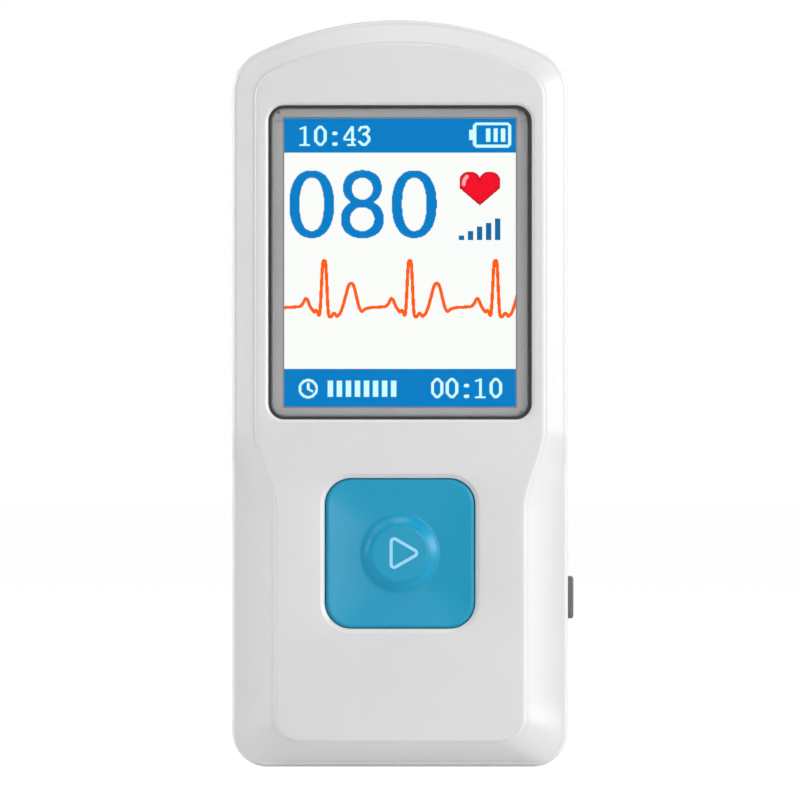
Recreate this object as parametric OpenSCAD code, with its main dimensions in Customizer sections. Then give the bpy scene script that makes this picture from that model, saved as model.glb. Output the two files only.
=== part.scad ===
// Pocket heart-rhythm monitor: a moulded two-part housing with a raised, waisted front panel, a colour
// display behind a clear lens, a large start key, a small side key, and three steel electrodes behind.
// It stands on its flat end: +X to the right seen from the front, +Y to the back, +Z up, in millimetres.

/* [Housing] */
// Width of the housing across its side walls
body_w = 45; // [44:0.5:56]
// Length of the housing from its flat end to the crown of its head
body_h = 100; // [97:0.5:124]
// Thickness of the housing from front panel to back face
body_t = 15; // [14.5:0.5:20]
// Wall thickness of both covers
wall = 1.5; // [1.2:0.1:1.8]
// Depth of the front cover, front panel to parting line
front_depth = 7.5; // [7.3:0.1:8.5]
// Radius of the arched head edge
head_arc_r = 44; // [36:1:70]
// Radius of the corners beside the head
head_corner_r = 6; // [5:0.5:8]
// Radius of the corners at the flat end
foot_corner_r = 4.7; // [4:0.1:6]
// Width of the rounded edge in front
edge_w = 0.6; // [0.3:0.05:0.9]
// Depth of the rounded edge in front
edge_h = 0.9; // [0.4:0.1:1.4]
// Radius of the rounded edge behind
rear_edge_r = 2; // [1:0.1:2.4]
// Reveal left between the covers at the parting line
reveal = 0.16; // [0.1:0.02:0.4]

/* [Front panel] */
// Bevel beside the display, seen from the front
side_bevel = 3.4; // [2.6:0.1:3.6]
// Bevel beside the start key, which forms the finger grips
grip_bevel = 6; // [4:0.1:6.4]
// Bevel at the head
head_bevel = 3.5; // [2.5:0.1:5]
// Bevel at the flat end
foot_bevel = 3.6; // [2.5:0.1:5]
// Drop of the bevels beside the display, measured from the panel
side_drop = 1.9; // [1.4:0.1:2.4]
// Drop of the finger grips
grip_drop = 2.7; // [2:0.1:3.2]
// Drop of the bevel at the flat end
foot_drop = 2.2; // [1.4:0.1:2.6]
// Hollow of the finger grips, across their width
grip_scoop = 0.3; // [0:0.05:0.5]
// Radius of the arched head edge of the panel
panel_arc_r = 42; // [34:1:70]
// Radius of the panel's corners beside the head
panel_head_r = 4; // [3:0.5:6]
// Radius of the panel's corners at the flat end
panel_foot_r = 3.4; // [2.5:0.1:4]
// Turn that the panel's foot corners leave at the crease to the grips, in degrees
crease_angle = 16; // [0:1:30]
// Length of the waist in which the panel narrows
waist_len = 11; // [8:0.5:14]
// Width of the small step round the panel
ridge_w = 0.3; // [0.15:0.05:0.4]
// Height of the small step round the panel
ridge_h = 0.3; // [0.1:0.05:0.5]

/* [Display] */
// Centre of the display below the crown of the head
display_drop = 32.5; // [32:0.1:34]
// Width of the lens
lens_w = 34.3; // [30:0.1:34.6]
// Height of the lens
lens_h = 41.1; // [36:0.1:42]
// Thickness of the lens
lens_t = 0.8; // [0.6:0.1:1]
// Corner radius of the lens
lens_r = 1.7; // [1:0.1:3]
// Width of the dark gasket round the lens
gasket_w = 0.45; // [0.3:0.05:0.6]
// Depth of the lens below the panel
lens_sink = 0.1; // [0:0.05:0.3]
// Width of the picture area
picture_w = 31; // [27:0.1:31.6]
// Height of the picture area
picture_h = 38.6; // [33:0.1:38.8]
// Width of the display glass
glass_w = 34; // [32:0.1:34.4]
// Height of the display glass
glass_h = 43.2; // [42:0.1:43.6]
// Thickness of each of the two glass layers
glass_t = 0.7; // [0.4:0.05:0.8]
// Thickness of the backlight tray
tray_t = 1.3; // [1:0.05:1.4]

/* [Start key] */
// Width and height of the key cap
key_w = 19.9; // [17:0.1:21]
// Corner radius of the key cap
key_r = 3.4; // [2:0.1:5]
// Centre of the start key above the flat end
key_z = 28.6; // [27.5:0.1:29]
// Clearance round the key cap
key_gap = 0.1; // [0.1:0.05:0.4]
// Depth of the key cap's edge below the panel
key_sink = 0.2; // [0:0.05:0.4]
// Rounding of the key cap's edge
key_edge_r = 0.25; // [0.1:0.05:0.5]
// Width of the flange that holds the key inside
key_flange = 0.8; // [0.5:0.1:1.2]
// Radius of the boss at its base
boss_r = 5.05; // [4:0.05:6]
// Radius of the boss at its flat top
boss_top_r = 3.9; // [3:0.05:3.9]
// Height of the boss above the cap
boss_h = 0.6; // [0.3:0.05:0.8]
// Height of the triangle symbol
symbol_h = 4.4; // [3.5:0.05:4.8]
// Line width of the triangle symbol
symbol_line = 0.5; // [0.3:0.05:0.6]
// Outer corner radius of the triangle symbol
symbol_r = 0.65; // [0.62:0.01:0.8]
// Hollow of the key cap's face, deepest at the boss
key_dish = 0.35; // [0.1:0.05:0.5]
// Travel of both keys
travel = 0.25; // [0.15:0.05:0.3]

/* [Side key] */
// Length of the side key along the housing
side_key_l = 5.7; // [5:0.1:7]
// Width of the side key across the parting line
side_key_w = 3.2; // [2.6:0.1:3.6]
// Centre of the side key above the flat end
side_key_z = 22.6; // [21:0.1:25]
// Height of the side key above the side wall
side_key_proud = 0.8; // [0.4:0.05:1]

/* [Electrodes] */
// Width of the upper electrode
upper_w = 26; // [20:0.5:32]
// Height of the upper electrode
upper_h = 12; // [9:0.5:13]
// Centre of the upper electrode below the crown of the head
upper_drop = 18; // [17:0.5:18.5]
// Width of each lower electrode
lower_w = 13.5; // [11:0.5:14.5]
// Height of each lower electrode
lower_h = 19; // [15:0.5:20]
// Distance between the centres of the two lower electrodes
lower_pitch = 19; // [17:0.5:20]
// Centre of the lower electrodes above the flat end
lower_z = 23; // [22:0.5:24]
// Thickness of the steel sheet
steel_t = 0.6; // [0.4:0.05:0.8]
// Height of the electrodes above the back face
steel_proud = 0.3; // [0.1:0.05:0.4]

/* [Inside] */
// Thickness of the main board
board_t = 1; // [0.8:0.1:1.2]
// Front face of the main board behind the front panel
board_depth = 5.3; // [5.2:0.05:5.6]
// Width of the battery cell
cell_w = 28; // [22:0.5:30]
// Length of the battery cell
cell_l = 28; // [20:0.5:29]
// Thickness of the battery cell
cell_t = 4; // [3:0.1:4.4]
// Radius of the screw shanks that hold the covers together
screw_r = 0.9; // [0.7:0.05:1]
// Distance of the cover screws from the middle plane
screw_x = 15.5; // [15:0.1:16]
// Distance of the cover screws from the flat end and from the crown
screw_inset = 8.2; // [8:0.1:8.6]
// Clearance between pieces that are laid or pushed together
fit = 0.1; // [0.05:0.01:0.15]

/* [Hidden] */

$fn = 64;

// Depths, front to back
panel_y = -body_t / 2;
back_y = body_t / 2;
parting_y = panel_y + front_depth;
rear_inner_y = back_y - wall;
front_inner_y = panel_y + wall;
board_y = panel_y + board_depth;
board_back_y = board_y + board_t;
lens_y = panel_y + lens_sink;
border_t = 0.1;
adhesive_t = 0.15;
lens_seat_y = lens_y + lens_t + border_t + adhesive_t;
display_ledge_t = 0.8;
foam_t = 0.5;
foam_y = lens_seat_y + display_ledge_t;
glass_y = foam_y + foam_t;
tray_y = glass_y + 2 * glass_t;

// Heights, flat end to head
display_z = body_h - display_drop;
upper_z = body_h - upper_drop;
waist_high = display_z - lens_h / 2 - gasket_w - 1;
waist_low = waist_high - waist_len;
grip_top = waist_high - 0.5;
shoulder_len = 5;
head_screw_z = body_h - screw_inset;

// Outlines: steps of each round stretch
corner_steps = 10;
arc_steps = 14;
waist_steps = 14;
crease_z = foot_bevel + panel_foot_r * (1 - sin(crease_angle));
straight_top_z = min(head_corner(body_w / 2, body_h - head_arc_r, head_arc_r, head_corner_r)[1],
                     head_corner(body_w / 2 - side_bevel, body_h - head_bevel - panel_arc_r,
                                 panel_arc_r, panel_head_r)[1]) - 1;
side_heights = concat([crease_z + 0.9, crease_z + 3, (crease_z + waist_low) / 2],
                      [for (i = [0:waist_steps]) waist_low + waist_len * i / waist_steps],
                      [waist_high + 3, (waist_high + straight_top_z) / 2, straight_top_z]);

function arc(c, r, a0, a1, n, first = 0) =
    [for (i = [first:n]) let (a = a0 + (a1 - a0) * i / n) c + r * [cos(a), sin(a)]];

// Centre of a corner circle of radius r that touches the side at x and the head arc from inside
function head_corner(x, arc_z, arc_r, r) = [x - r, arc_z + sqrt(pow(arc_r - r, 2) - pow(x - r, 2))];

// Corner and head arc that close an outline from its side, at x, to the crown
function head_end(x, arc_z, arc_r, r, inset) =
    let (c = head_corner(x, arc_z, arc_r, r), a = atan2(c[1] - arc_z, c[0]))
    concat(arc(c, r - inset, 0, a, corner_steps), arc([0, arc_z], arc_r - inset, a, 90, arc_steps, 1));

function whole(half) =
    concat(half, [for (i = [len(half) - 1:-1:0]) if (half[i][0] > 0.001) [-half[i][0], half[i][1]]]);

// Outline of the housing seen from the front, drawn in by inset: foot corner, crown and down again
function housing_outline(inset) =
    let (x = body_w / 2, foot = [x - foot_corner_r, foot_corner_r])
    whole(concat(arc(foot, foot_corner_r - inset, -90, 0, corner_steps),
                 [for (z = side_heights) [x - inset, z]],
                 head_end(x, body_h - head_arc_r, head_arc_r, head_corner_r, inset)));

// Share that runs smoothly from 0 at a to 1 at b
function ease(v, a, b) = let (t = min(1, max(0, (v - a) / (b - a)))) t * t * (3 - 2 * t);

// Half width of the panel at a height: narrow between the grips, wide beside the display
function panel_side(z) =
    body_w / 2 - grip_bevel + (grip_bevel - side_bevel) * ease(z, waist_low, waist_high);

// Outline of the raised panel, point for point beside the housing's
function panel_outline(inset) =
    let (x = body_w / 2 - grip_bevel, top_x = body_w / 2 - side_bevel,
         foot = [x - panel_foot_r * cos(crease_angle), foot_bevel + panel_foot_r])
    whole(concat(arc(foot, panel_foot_r - inset, -90, -crease_angle, corner_steps),
                 [for (z = side_heights) [panel_side(z) - inset, z]],
                 head_end(top_x, body_h - head_bevel - panel_arc_r, panel_arc_r, panel_head_r, inset)));

// Share that falls from 1 in the finger grips to 0 beside the display
function below_shoulder(z) = 1 - ease(z, grip_top - shoulder_len, grip_top);

// How much of a finger grip there is at a height
function grip_share(z) = ease(z, crease_z - 1, crease_z + 2.5) * below_shoulder(z);

// Drop of the bevel's outer edge below the panel; the foot corners bulge a little between grip and end
function edge_drop(z) =
    let (t = min(1, max(0, 1 - z / foot_corner_r)), corner_bulge = 0.2)
    z < foot_corner_r ? grip_drop + (foot_drop - grip_drop) * t + corner_bulge * sin(180 * t)
                      : side_drop + (grip_drop - side_drop) * below_shoulder(z);

function flat(outline, y) = [for (p = outline) [p[0], y, p[1]]];
function on_edge(outline, lift) = [for (p = outline) [p[0], panel_y + edge_drop(p[1]) + lift, p[1]]];

// Ring at share u of the way across the bevel, hollowed where the grips are
function across(a, b, u) = [for (i = [0:len(a) - 1]) a[i] * (1 - u) + b[i] * u
                            + [0, 4 * u * (1 - u) * grip_scoop * grip_share(a[i][2]), 0]];

// Skin of the front cover, o inside the outer one: side wall, rounded edge, bevel, small step and panel
function front_rings(o, from_y) =
    let (edge = on_edge(housing_outline(o + edge_w), o),
         ridge = flat(panel_outline(o - ridge_w), panel_y + o + ridge_h))
    concat([flat(housing_outline(o), from_y)],
           [for (a = [0:22.5:67.5])
               on_edge(housing_outline(o + edge_w * (1 - cos(a))), o + edge_h * (1 - sin(a)))],
           [for (u = [0:0.25:1]) across(edge, ridge, u)],
           [flat(panel_outline(o - ridge_w * 0.46), panel_y + o + ridge_h * 0.24),
            flat(panel_outline(o + ridge_w / 2), panel_y + o)]);

// Skin of the rear cover, o inside the outer one: back face, rounded edge and side wall
function rear_rings(o, to_y) =
    let (r = max(0.3, rear_edge_r - o))
    concat([for (a = [0:22.5:90]) flat(housing_outline(o + r * (1 - sin(a))),
                                      back_y - o - r * (1 - cos(a)))],
           [flat(housing_outline(o), to_y)]);

function mean(ring) = [for (k = [0:2]) [for (p = ring) p[k]] * [for (p = ring) 1] / len(ring)];

// Closed solid through rings of equal point count, the rearmost first, each end closed about its middle
module loft(rings) {
    n = len(rings[0]);
    m = len(rings);
    points = concat([for (ring = rings) each ring], [mean(rings[0]), mean(rings[m - 1])]);
    walls = [for (k = [0:m - 2], i = [0:n - 1])
                let (j = (i + 1) % n, a = k * n, b = (k + 1) * n)
                each [[b + i, b + j, a + j], [b + i, a + j, a + i]]];
    far_end = [for (i = [0:n - 1]) [m * n, i, (i + 1) % n]];
    near_end = [for (i = [0:n - 1]) [m * n + 1, (m - 1) * n + (i + 1) % n, (m - 1) * n + i]];
    polyhedron(points, concat(walls, far_end, near_end));
}

// Flat piece between two depths, from an outline drawn as seen from the front
module slab(y0, y1) {
    translate([0, y1, 0]) rotate([90, 0, 0]) linear_extrude(y1 - y0) children();
}

module at(x, z) {
    translate([x, 0, z]) children();
}

module at_2d(x, z) {
    translate([x, z]) children();
}

module rounded(w, h, r) {
    square([w - 2 * r, h], center = true);
    square([w, h - 2 * r], center = true);
    for (sx = [-1, 1], sz = [-1, 1]) translate([sx * (w / 2 - r), sz * (h / 2 - r)]) circle(r);
}

module frame(w, h, r, rim) {
    difference() {
        rounded(w, h, r);
        rounded(w - 2 * rim, h - 2 * rim, max(0.1, r - rim));
    }
}

// Round rod along the depth
module rod(x, z, r, y0, y1) {
    translate([x, y1, z]) rotate([90, 0, 0]) cylinder(r = r, h = y1 - y0);
}

// Slanted rim of an opening in the panel, wider by the flare at the front and mouth_slope times as deep
module mouth(w, h, r, flare) {
    both = 2 * flare;
    depth = mouth_slope * flare;
    hull() {
        slab(panel_y - 1, panel_y) rounded(w + both, h + both, r + flare, $fn = 32);
        slab(panel_y + depth - 0.01, panel_y + depth) rounded(w, h, r, $fn = 32);
    }
}

// Profile of a bent strip of thickness t: the centre line offset to both sides
function strip(path, t) =
    let (n = len(path),
         side = [for (i = [0:n - 1])
                    let (d = path[min(n - 1, i + 1)] - path[max(0, i - 1)])
                    [-d[1], d[0]] / norm(d) * t / 2])
    concat([for (i = [0:n - 1]) path[i] + side[i]], [for (i = [n - 1:-1:0]) path[i] - side[i]]);

// Strip along a path of [y, z] points, w wide about x
module bent_strip(path, t, x, w) {
    translate([x - w / 2, 0, 0]) rotate([90, 0, 90]) linear_extrude(w) polygon(strip(path, t));
}

module cover_screw_places() {
    for (sx = [-1, 1], z = [screw_inset, head_screw_z]) at(sx * screw_x, z) children();
}

// ---- Front cover ----

// Posts, walls and ribs inside the covers reach into the wall by the depth root
lip_h = 1;
lip_outer = wall / 2 + fit;
cover_boss_r = 2.2;
pilot_gap = 0.05;
board_post_r = 1.9;
board_post_x = 13;
board_post_low_z = 13.6;
board_post_high_z = waist_high - 3.4;
board_screw_r = 0.65;
lens_flare = 0.4;
key_flare = 0.65;
mouth_slope = 0.6;
root = 0.2;

// Recess that seats the lens, window through its floor, and the thicker rim that carries both
seat_w = lens_w + 2 * gasket_w;
seat_h = lens_h + 2 * gasket_w;
seat_r = lens_r + gasket_w;
window_rim = 0.5;
window_w = picture_w + 2 * window_rim;
window_h = picture_h + 2 * window_rim;
window_r = 0.6;
seat_rim = 1.2;

// Opening of the start key and the low wall behind it that guides the key's flange
key_hole_w = key_w + 2 * key_gap;
key_hole_r = key_r + key_gap;
guide_gap = 0.3;
guide_wall = 0.8;
guide_y = front_inner_y + 1.3;
guide_w = key_w + 2 * (key_flange + guide_gap + guide_wall);

// Openings in the side walls
side_slot_r = 1;
usb_w = 7.6;
usb_t = 2.6;
usb_gap = 0.3;
usb_z = side_key_z;
usb_y = board_back_y + usb_t / 2;
usb_slot_r = 0.9;

// Edges of the display glass, which reaches further below the picture than above it
glass_top_z = display_z + picture_h / 2 + 2.1;
glass_bottom_z = glass_top_z - glass_h;
stop_w = 4;
stop_t = 0.8;

module board_post_places() {
    for (sx = [-1, 1], z = [board_post_low_z, board_post_high_z]) at(sx * board_post_x, z) children();
}

// Piece along X from an outline drawn in Y and Z
module cross_slab(x0, x1) {
    translate([x0, 0, 0]) rotate([90, 0, 90]) linear_extrude(x1 - x0) children();
}

module wall_openings() {
    past_lip = 1;
    inside = body_w / 2 - wall - past_lip;
    cross_slab(inside, body_w) translate([parting_y, side_key_z])
        rounded(side_key_w + 2 * key_gap, side_key_l + 2 * key_gap, side_slot_r);
    cross_slab(-body_w, -inside) translate([usb_y, usb_z])
        rounded(usb_t + 2 * usb_gap, usb_w + 2 * usb_gap, usb_slot_r);
}

module front_cover_inside() {
    slab(panel_y + wall / 2, foam_y) at_2d(0, display_z)
        rounded(seat_w + 2 * seat_rim, seat_h + 2 * seat_rim, seat_r + seat_rim);
    cover_screw_places() rod(0, 0, cover_boss_r, front_inner_y - root, parting_y - reveal / 2);
    board_post_places() rod(0, 0, board_post_r, front_inner_y - root, board_y);
    slab(front_inner_y - root, guide_y) at_2d(0, key_z)
        frame(guide_w, guide_w, key_r + (guide_w - key_w) / 2, guide_wall);
    for (sx = [-1, 1]) slab(front_inner_y - root, tray_y)
        at_2d(sx * board_post_x, glass_bottom_z - fit - stop_t / 2) rounded(stop_w, stop_t, 0.3);
}

module front_cover() {
    color([0.86, 0.86, 0.85]) difference() {
        union() {
            difference() {
                loft(front_rings(0, parting_y - reveal / 2));
                loft(front_rings(wall, parting_y + 1));
            }
            front_cover_inside();
        }
        slab(panel_y - 1, lens_seat_y) at_2d(0, display_z) rounded(seat_w, seat_h, seat_r);
        slab(panel_y - 1, foam_y + 1) at_2d(0, display_z) rounded(window_w, window_h, window_r);
        at(0, display_z) mouth(seat_w, seat_h, seat_r, lens_flare);
        slab(panel_y - 1, front_inner_y + 1) at_2d(0, key_z) rounded(key_hole_w, key_hole_w, key_hole_r);
        at(0, key_z) mouth(key_hole_w, key_hole_w, key_hole_r, key_flare);
        slab(parting_y - lip_h - fit, parting_y + 1) difference() {
            polygon(housing_outline(wall / 2));
            polygon(housing_outline(wall + 0.4));
        }
        wall_openings();
        cover_screw_places() rod(0, 0, screw_r + pilot_gap, front_inner_y + 1, parting_y + 1);
        board_post_places() rod(0, 0, board_screw_r + pilot_gap, front_inner_y + 0.5, board_y + 1);
    }
}

// ---- Rear cover ----

counterbore_r = 1.9;
counterbore_h = 1.5;
screw_gap = 0.15;
stud_r = 1.2;
pocket_gap = 0.1;
plate_r = 2;
plate_y = back_y + steel_proud - steel_t;
pad_t = 0.5;
cell_y = rear_inner_y - pad_t - cell_t;
cell_bottom_z = waist_high + 2.6;
cell_gap = 0.3;
rib_t = 0.9;

// Centre x, centre z, width and height of each electrode
upper_plate = [0, upper_z, upper_w, upper_h];
left_plate = [-lower_pitch / 2, lower_z, lower_w, lower_h];
right_plate = [lower_pitch / 2, lower_z, lower_w, lower_h];

module rear_cover_inside() {
    slab(parting_y - lip_h, back_y - rear_edge_r) difference() {
        polygon(housing_outline(lip_outer));
        polygon(housing_outline(wall));
    }
    cover_screw_places() rod(0, 0, cover_boss_r, parting_y + reveal / 2, back_y - wall / 2);
    slab(cell_y + 1, rear_inner_y + root) {
        rib_x = cell_w / 2 + cell_gap + rib_t / 2;
        for (sx = [-1, 1]) translate([sx * rib_x, cell_bottom_z + cell_l / 2])
            rounded(rib_t, cell_l - 4, rib_t / 2 - 0.05);
        translate([0, cell_bottom_z + cell_l + cell_gap + rib_t / 2])
            rounded(cell_w - 6, rib_t, rib_t / 2 - 0.05);
    }
}

module rear_cover() {
    color([0.86, 0.86, 0.85]) difference() {
        union() {
            difference() {
                loft(rear_rings(0, parting_y + reveal / 2));
                loft(rear_rings(wall, parting_y - 1));
            }
            rear_cover_inside();
        }
        for (plate = [upper_plate, left_plate, right_plate]) {
            slab(plate_y, back_y + 1) at_2d(plate[0], plate[1])
                rounded(plate[2] + 2 * pocket_gap, plate[3] + 2 * pocket_gap, plate_r + pocket_gap);
            rod(plate[0], plate[1], stud_r + pocket_gap, rear_inner_y - 1, back_y);
        }
        cover_screw_places() {
            rod(0, 0, screw_r + screw_gap, parting_y - 1, back_y);
            rod(0, 0, counterbore_r, back_y - counterbore_h, back_y + 1);
        }
        wall_openings();
    }
}

// ---- Lens and display ----

border_y = lens_y + lens_t;
adhesive_y = border_y + border_t;
gasket_gap = 0.03;
gasket_sink = 0.15;
glass_ledge = 3.2;
driver_t = 0.4;
ribbon_w = 16;
ribbon_t = 0.15;
tray_pocket = 0.9;
light_guide_t = 0.85;
tray_rim = 1;

module at_display() {
    translate([0, display_z]) children();
}

module display_lens() {
    color([0.9, 0.95, 1, 0.3]) slab(lens_y, border_y) at_display() rounded(lens_w, lens_h, lens_r);
}

module lens_border() {
    color([0.62, 0.62, 0.63]) slab(border_y, adhesive_y) at_display() difference() {
        rounded(lens_w - 2 * fit, lens_h - 2 * fit, lens_r - fit);
        rounded(picture_w, picture_h, 0.2);
    }
}

module lens_gasket() {
    both = 2 * gasket_gap;
    color([0.12, 0.12, 0.12]) slab(lens_y + gasket_sink, lens_seat_y) at_display()
        frame(seat_w - both, seat_h - both, seat_r - gasket_gap, gasket_w - both);
}

module lens_adhesive() {
    color([0.2, 0.2, 0.2]) slab(adhesive_y, lens_seat_y) at_display() difference() {
        rounded(lens_w - 2 * fit, lens_h - 2 * fit, lens_r - fit);
        rounded(window_w + 2 * fit, window_h + 2 * fit, window_r);
    }
}

module display_foam() {
    color([0.15, 0.15, 0.16]) slab(foam_y, glass_y) at_display() difference() {
        rounded(glass_w - 4 * fit, window_h + 2, 0.8);
        rounded(window_w + 2 * fit, window_h + 2 * fit, window_r);
    }
}

module display_glass() {
    color([0.93, 0.96, 0.97]) {
        front_h = glass_h - glass_ledge;
        slab(glass_y, glass_y + glass_t) at_2d(0, glass_top_z - front_h / 2)
            rounded(glass_w, front_h, 0.3);
        slab(glass_y + glass_t, tray_y) at_2d(0, glass_top_z - glass_h / 2)
            rounded(glass_w, glass_h, 0.3);
    }
}

module display_driver() {
    color([0.1, 0.1, 0.1]) slab(glass_y + glass_t - driver_t, glass_y + glass_t)
        at_2d(0, glass_bottom_z + 0.7 * glass_ledge) rounded(14, 1.2, 0.1);
}

module light_guide() {
    both = 2 * (tray_rim + fit);
    color([0.85, 0.93, 0.95]) slab(tray_y, tray_y + light_guide_t) at_2d(0, glass_top_z - glass_h / 2)
        rounded(glass_w - both, glass_h - both, 0.4);
}

module backlight_tray() {
    color([0.95, 0.95, 0.94]) difference() {
        slab(tray_y, tray_y + tray_t) at_2d(0, glass_top_z - glass_h / 2) rounded(glass_w, glass_h, 0.8);
        slab(tray_y - 1, tray_y + tray_pocket) at_2d(0, glass_top_z - glass_h / 2)
            rounded(glass_w - 2 * tray_rim, glass_h - 2 * tray_rim, 0.5);
    }
}

module display_ribbon() {
    bond_y = glass_y + glass_t - ribbon_t / 2;
    pad_y = board_y - ribbon_t / 2;
    z = glass_bottom_z;
    path = [[bond_y, z + 1.2], [bond_y, z - 0.4], [bond_y + 0.6, z - 1.1], [pad_y - 0.5, z - 1.6],
            [pad_y, z - 2.3], [pad_y, z - 4.2]];
    color([0.78, 0.5, 0.15]) bent_strip(path, ribbon_t, 0, ribbon_w);
}

// ---- Main board and what is soldered to it ----

board_gap = 0.5;
board_low_z = screw_inset + cover_boss_r + board_gap;
board_high_z = head_screw_z - cover_boss_r - board_gap;
side_flange = 0.7;
side_flange_t = 0.65;
side_flange_x = body_w / 2 - wall - fit - side_flange_t;
play = 0.05;
lead_t = 0.15;

module main_board() {
    color([0.1, 0.38, 0.22]) slab(board_y, board_back_y) difference() {
        intersection() {
            polygon(housing_outline(wall + board_gap));
            translate([-body_w / 2, board_low_z]) square([body_w, board_high_z - board_low_z]);
        }
        translate([side_flange_x - travel - board_gap, side_key_z - side_key_l / 2 - 2 * side_flange])
            square([body_w, side_key_l + 4 * side_flange]);
        for (sx = [-1, 1], z = [board_post_low_z, board_post_high_z])
            translate([sx * board_post_x, z]) circle(board_screw_r + screw_gap);
    }
}

// Row of n bent leads that leave a chip's edge, at half width w from its middle, towards +Z
module lead_row(n, pitch, lead_w, w, h) {
    foot_y = board_back_y + lead_t / 2;
    top_y = board_back_y + h / 2;
    path = [[top_y, w - 0.1], [top_y, w + 0.25], [foot_y, w + 0.55], [foot_y, w + 1]];
    for (i = [0:n - 1]) bent_strip(path, lead_t, (i - (n - 1) / 2) * pitch, lead_w);
}

// Moulded chip w wide and l high on the board's back, with leads on the given turns
module leaded_chip(x, z, w, l, h, n, pitch, lead_w, turns) {
    at(x, z) {
        color([0.13, 0.13, 0.14]) difference() {
            slab(board_back_y + 0.1, board_back_y + h) rounded(w, l, 0.25);
            rod(-w / 2 + 0.9, l / 2 - 0.9, 0.35, board_back_y + h - 0.1, board_back_y + h + 1);
        }
        color([0.75, 0.75, 0.76]) for (turn = turns) rotate([0, turn, 0])
            lead_row(n, pitch, lead_w, (turn % 180 == 0 ? l : w) / 2, h);
    }
}

processor_z = key_z + 4.6;
amplifier_z = lower_z - 2;
header_x = 8.6;
header_z = board_post_high_z - 4.4;

module processor() {
    leaded_chip(-1.4, processor_z, 7, 7, 1.3, 12, 0.5, 0.22, [0, 90, 180, 270]);
}

module memory_chip() {
    leaded_chip(-12.6, processor_z + 2.6, 4.9, 3.9, 1.4, 4, 1.27, 0.4, [0, 180]);
}

module charger_chip() {
    leaded_chip(-12.8, usb_z + 6.2, 2.9, 1.6, 1.1, 3, 0.95, 0.35, [0, 180]);
}

module ecg_amplifier() {
    color([0.13, 0.13, 0.14]) difference() {
        slab(board_back_y, board_back_y + 0.9) at_2d(0, amplifier_z) rounded(6, 6, 0.15);
        rod(-2.2, amplifier_z + 2.2, 0.3, board_back_y + 0.8, board_back_y + 2);
    }
}

module clock_crystal() {
    color([0.8, 0.8, 0.8]) slab(board_back_y, board_back_y + 0.8) at_2d(5.6, processor_z - 2.4)
        rounded(1.6, 3.2, 0.35);
}

// Small resistors and capacitors: two rows behind the display and a column on each side of the amplifier
module chip_passives() {
    places = concat([for (i = [0:9], z = [display_z - 16.5, display_z - 13.5]) [i * 2.4 - 10.8, z]],
                    [for (i = [0:4], sx = [-1, 1]) [sx * 4.6, amplifier_z - 3.6 + i * 1.8]]);
    color([0.72, 0.6, 0.45]) slab(board_back_y, board_back_y + 0.5) for (p = places)
        translate(p) square([1.1, 0.6], center = true);
}

header_w = 6;
header_l = 3.6;
header_h = 3;
header_wall = 0.5;
plug_l = 3.6;
plug_z = header_z - header_l / 2 + header_wall + fit;
plug_top_z = plug_z + plug_l;
plug_y = board_back_y + header_h / 2;

module battery_header() {
    color([0.93, 0.92, 0.88]) difference() {
        slab(board_back_y, board_back_y + header_h) at_2d(header_x, header_z)
            rounded(header_w, header_l, 0.3);
        slab(board_back_y + header_wall, board_back_y + header_h - header_wall)
            at_2d(header_x, header_z + header_wall)
            square([header_w - 2 * header_wall, header_l], center = true);
    }
}

module battery_plug() {
    slot_w = header_w - 2 * header_wall - 2 * fit;
    slot_h = header_h - 2 * header_wall - 2 * fit;
    color([0.96, 0.95, 0.92]) translate([header_x, plug_y, plug_z]) linear_extrude(plug_l)
        rounded(slot_w, slot_h, 0.2);
}

// ---- Switches and keys ----

key_face_y = panel_y + key_sink;
key_flange_y = front_inner_y + play;
key_flange_t = 0.8;
symbol_depth = 0.12;
switch_h = 1.6;
plunger_r = 1.6;
plunger_tip_y = board_y - switch_h - 0.5;
plunger_end_y = board_y - 0.7;
running_gap = 0.05;
side_plunger_r = 0.8;
side_plunger_x = side_flange_x - play;
side_switch_x = side_plunger_x - 1.05;
side_switch_l = 6;
side_switch_d = 3.6;

module start_switch() {
    color([0.16, 0.16, 0.17]) difference() {
        slab(board_y - switch_h, board_y) at_2d(0, key_z) rounded(6.2, 6.2, 0.6);
        rod(0, key_z, plunger_r + running_gap, board_y - switch_h - 1, plunger_end_y + travel + 0.1);
    }
}

module start_plunger() {
    color([0.85, 0.83, 0.78]) rod(0, key_z, plunger_r, plunger_tip_y, plunger_end_y);
}

module side_switch() {
    y1 = parting_y + 1.2;
    color([0.16, 0.16, 0.17]) difference() {
        cross_slab(side_switch_x - side_switch_d, side_switch_x)
            translate([(board_back_y + y1) / 2, side_key_z])
            rounded(y1 - board_back_y, side_switch_l, 0.3);
        cross_slab(side_switch_x - 1.4, side_switch_x + 1) translate([parting_y, side_key_z])
            circle(side_plunger_r + running_gap);
    }
}

module side_plunger() {
    color([0.85, 0.83, 0.78]) cross_slab(side_switch_x - 1, side_plunger_x)
        translate([parting_y, side_key_z]) circle(side_plunger_r);
}

// Round-ended line between two points
module stroke(a, b, w) {
    d = b - a;
    translate(a) circle(w / 2);
    translate(b) circle(w / 2);
    translate(a) rotate(atan2(d[1], d[0])) translate([0, -w / 2]) square([norm(d), w]);
}

// Triangle that points to the right, with corners of radius r about the same three points
module symbol_triangle(r) {
    reach = (symbol_h - 2 * symbol_r) / sqrt(3);
    corners = [for (a = [0, 120, 240]) reach * [cos(a), sin(a)]];
    polygon(corners);
    for (i = [0:2]) stroke(corners[i], corners[(i + 1) % 3], 2 * r);
}

module symbol_outline() {
    difference() {
        symbol_triangle(symbol_r);
        symbol_triangle(symbol_r - symbol_line);
    }
}

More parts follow.
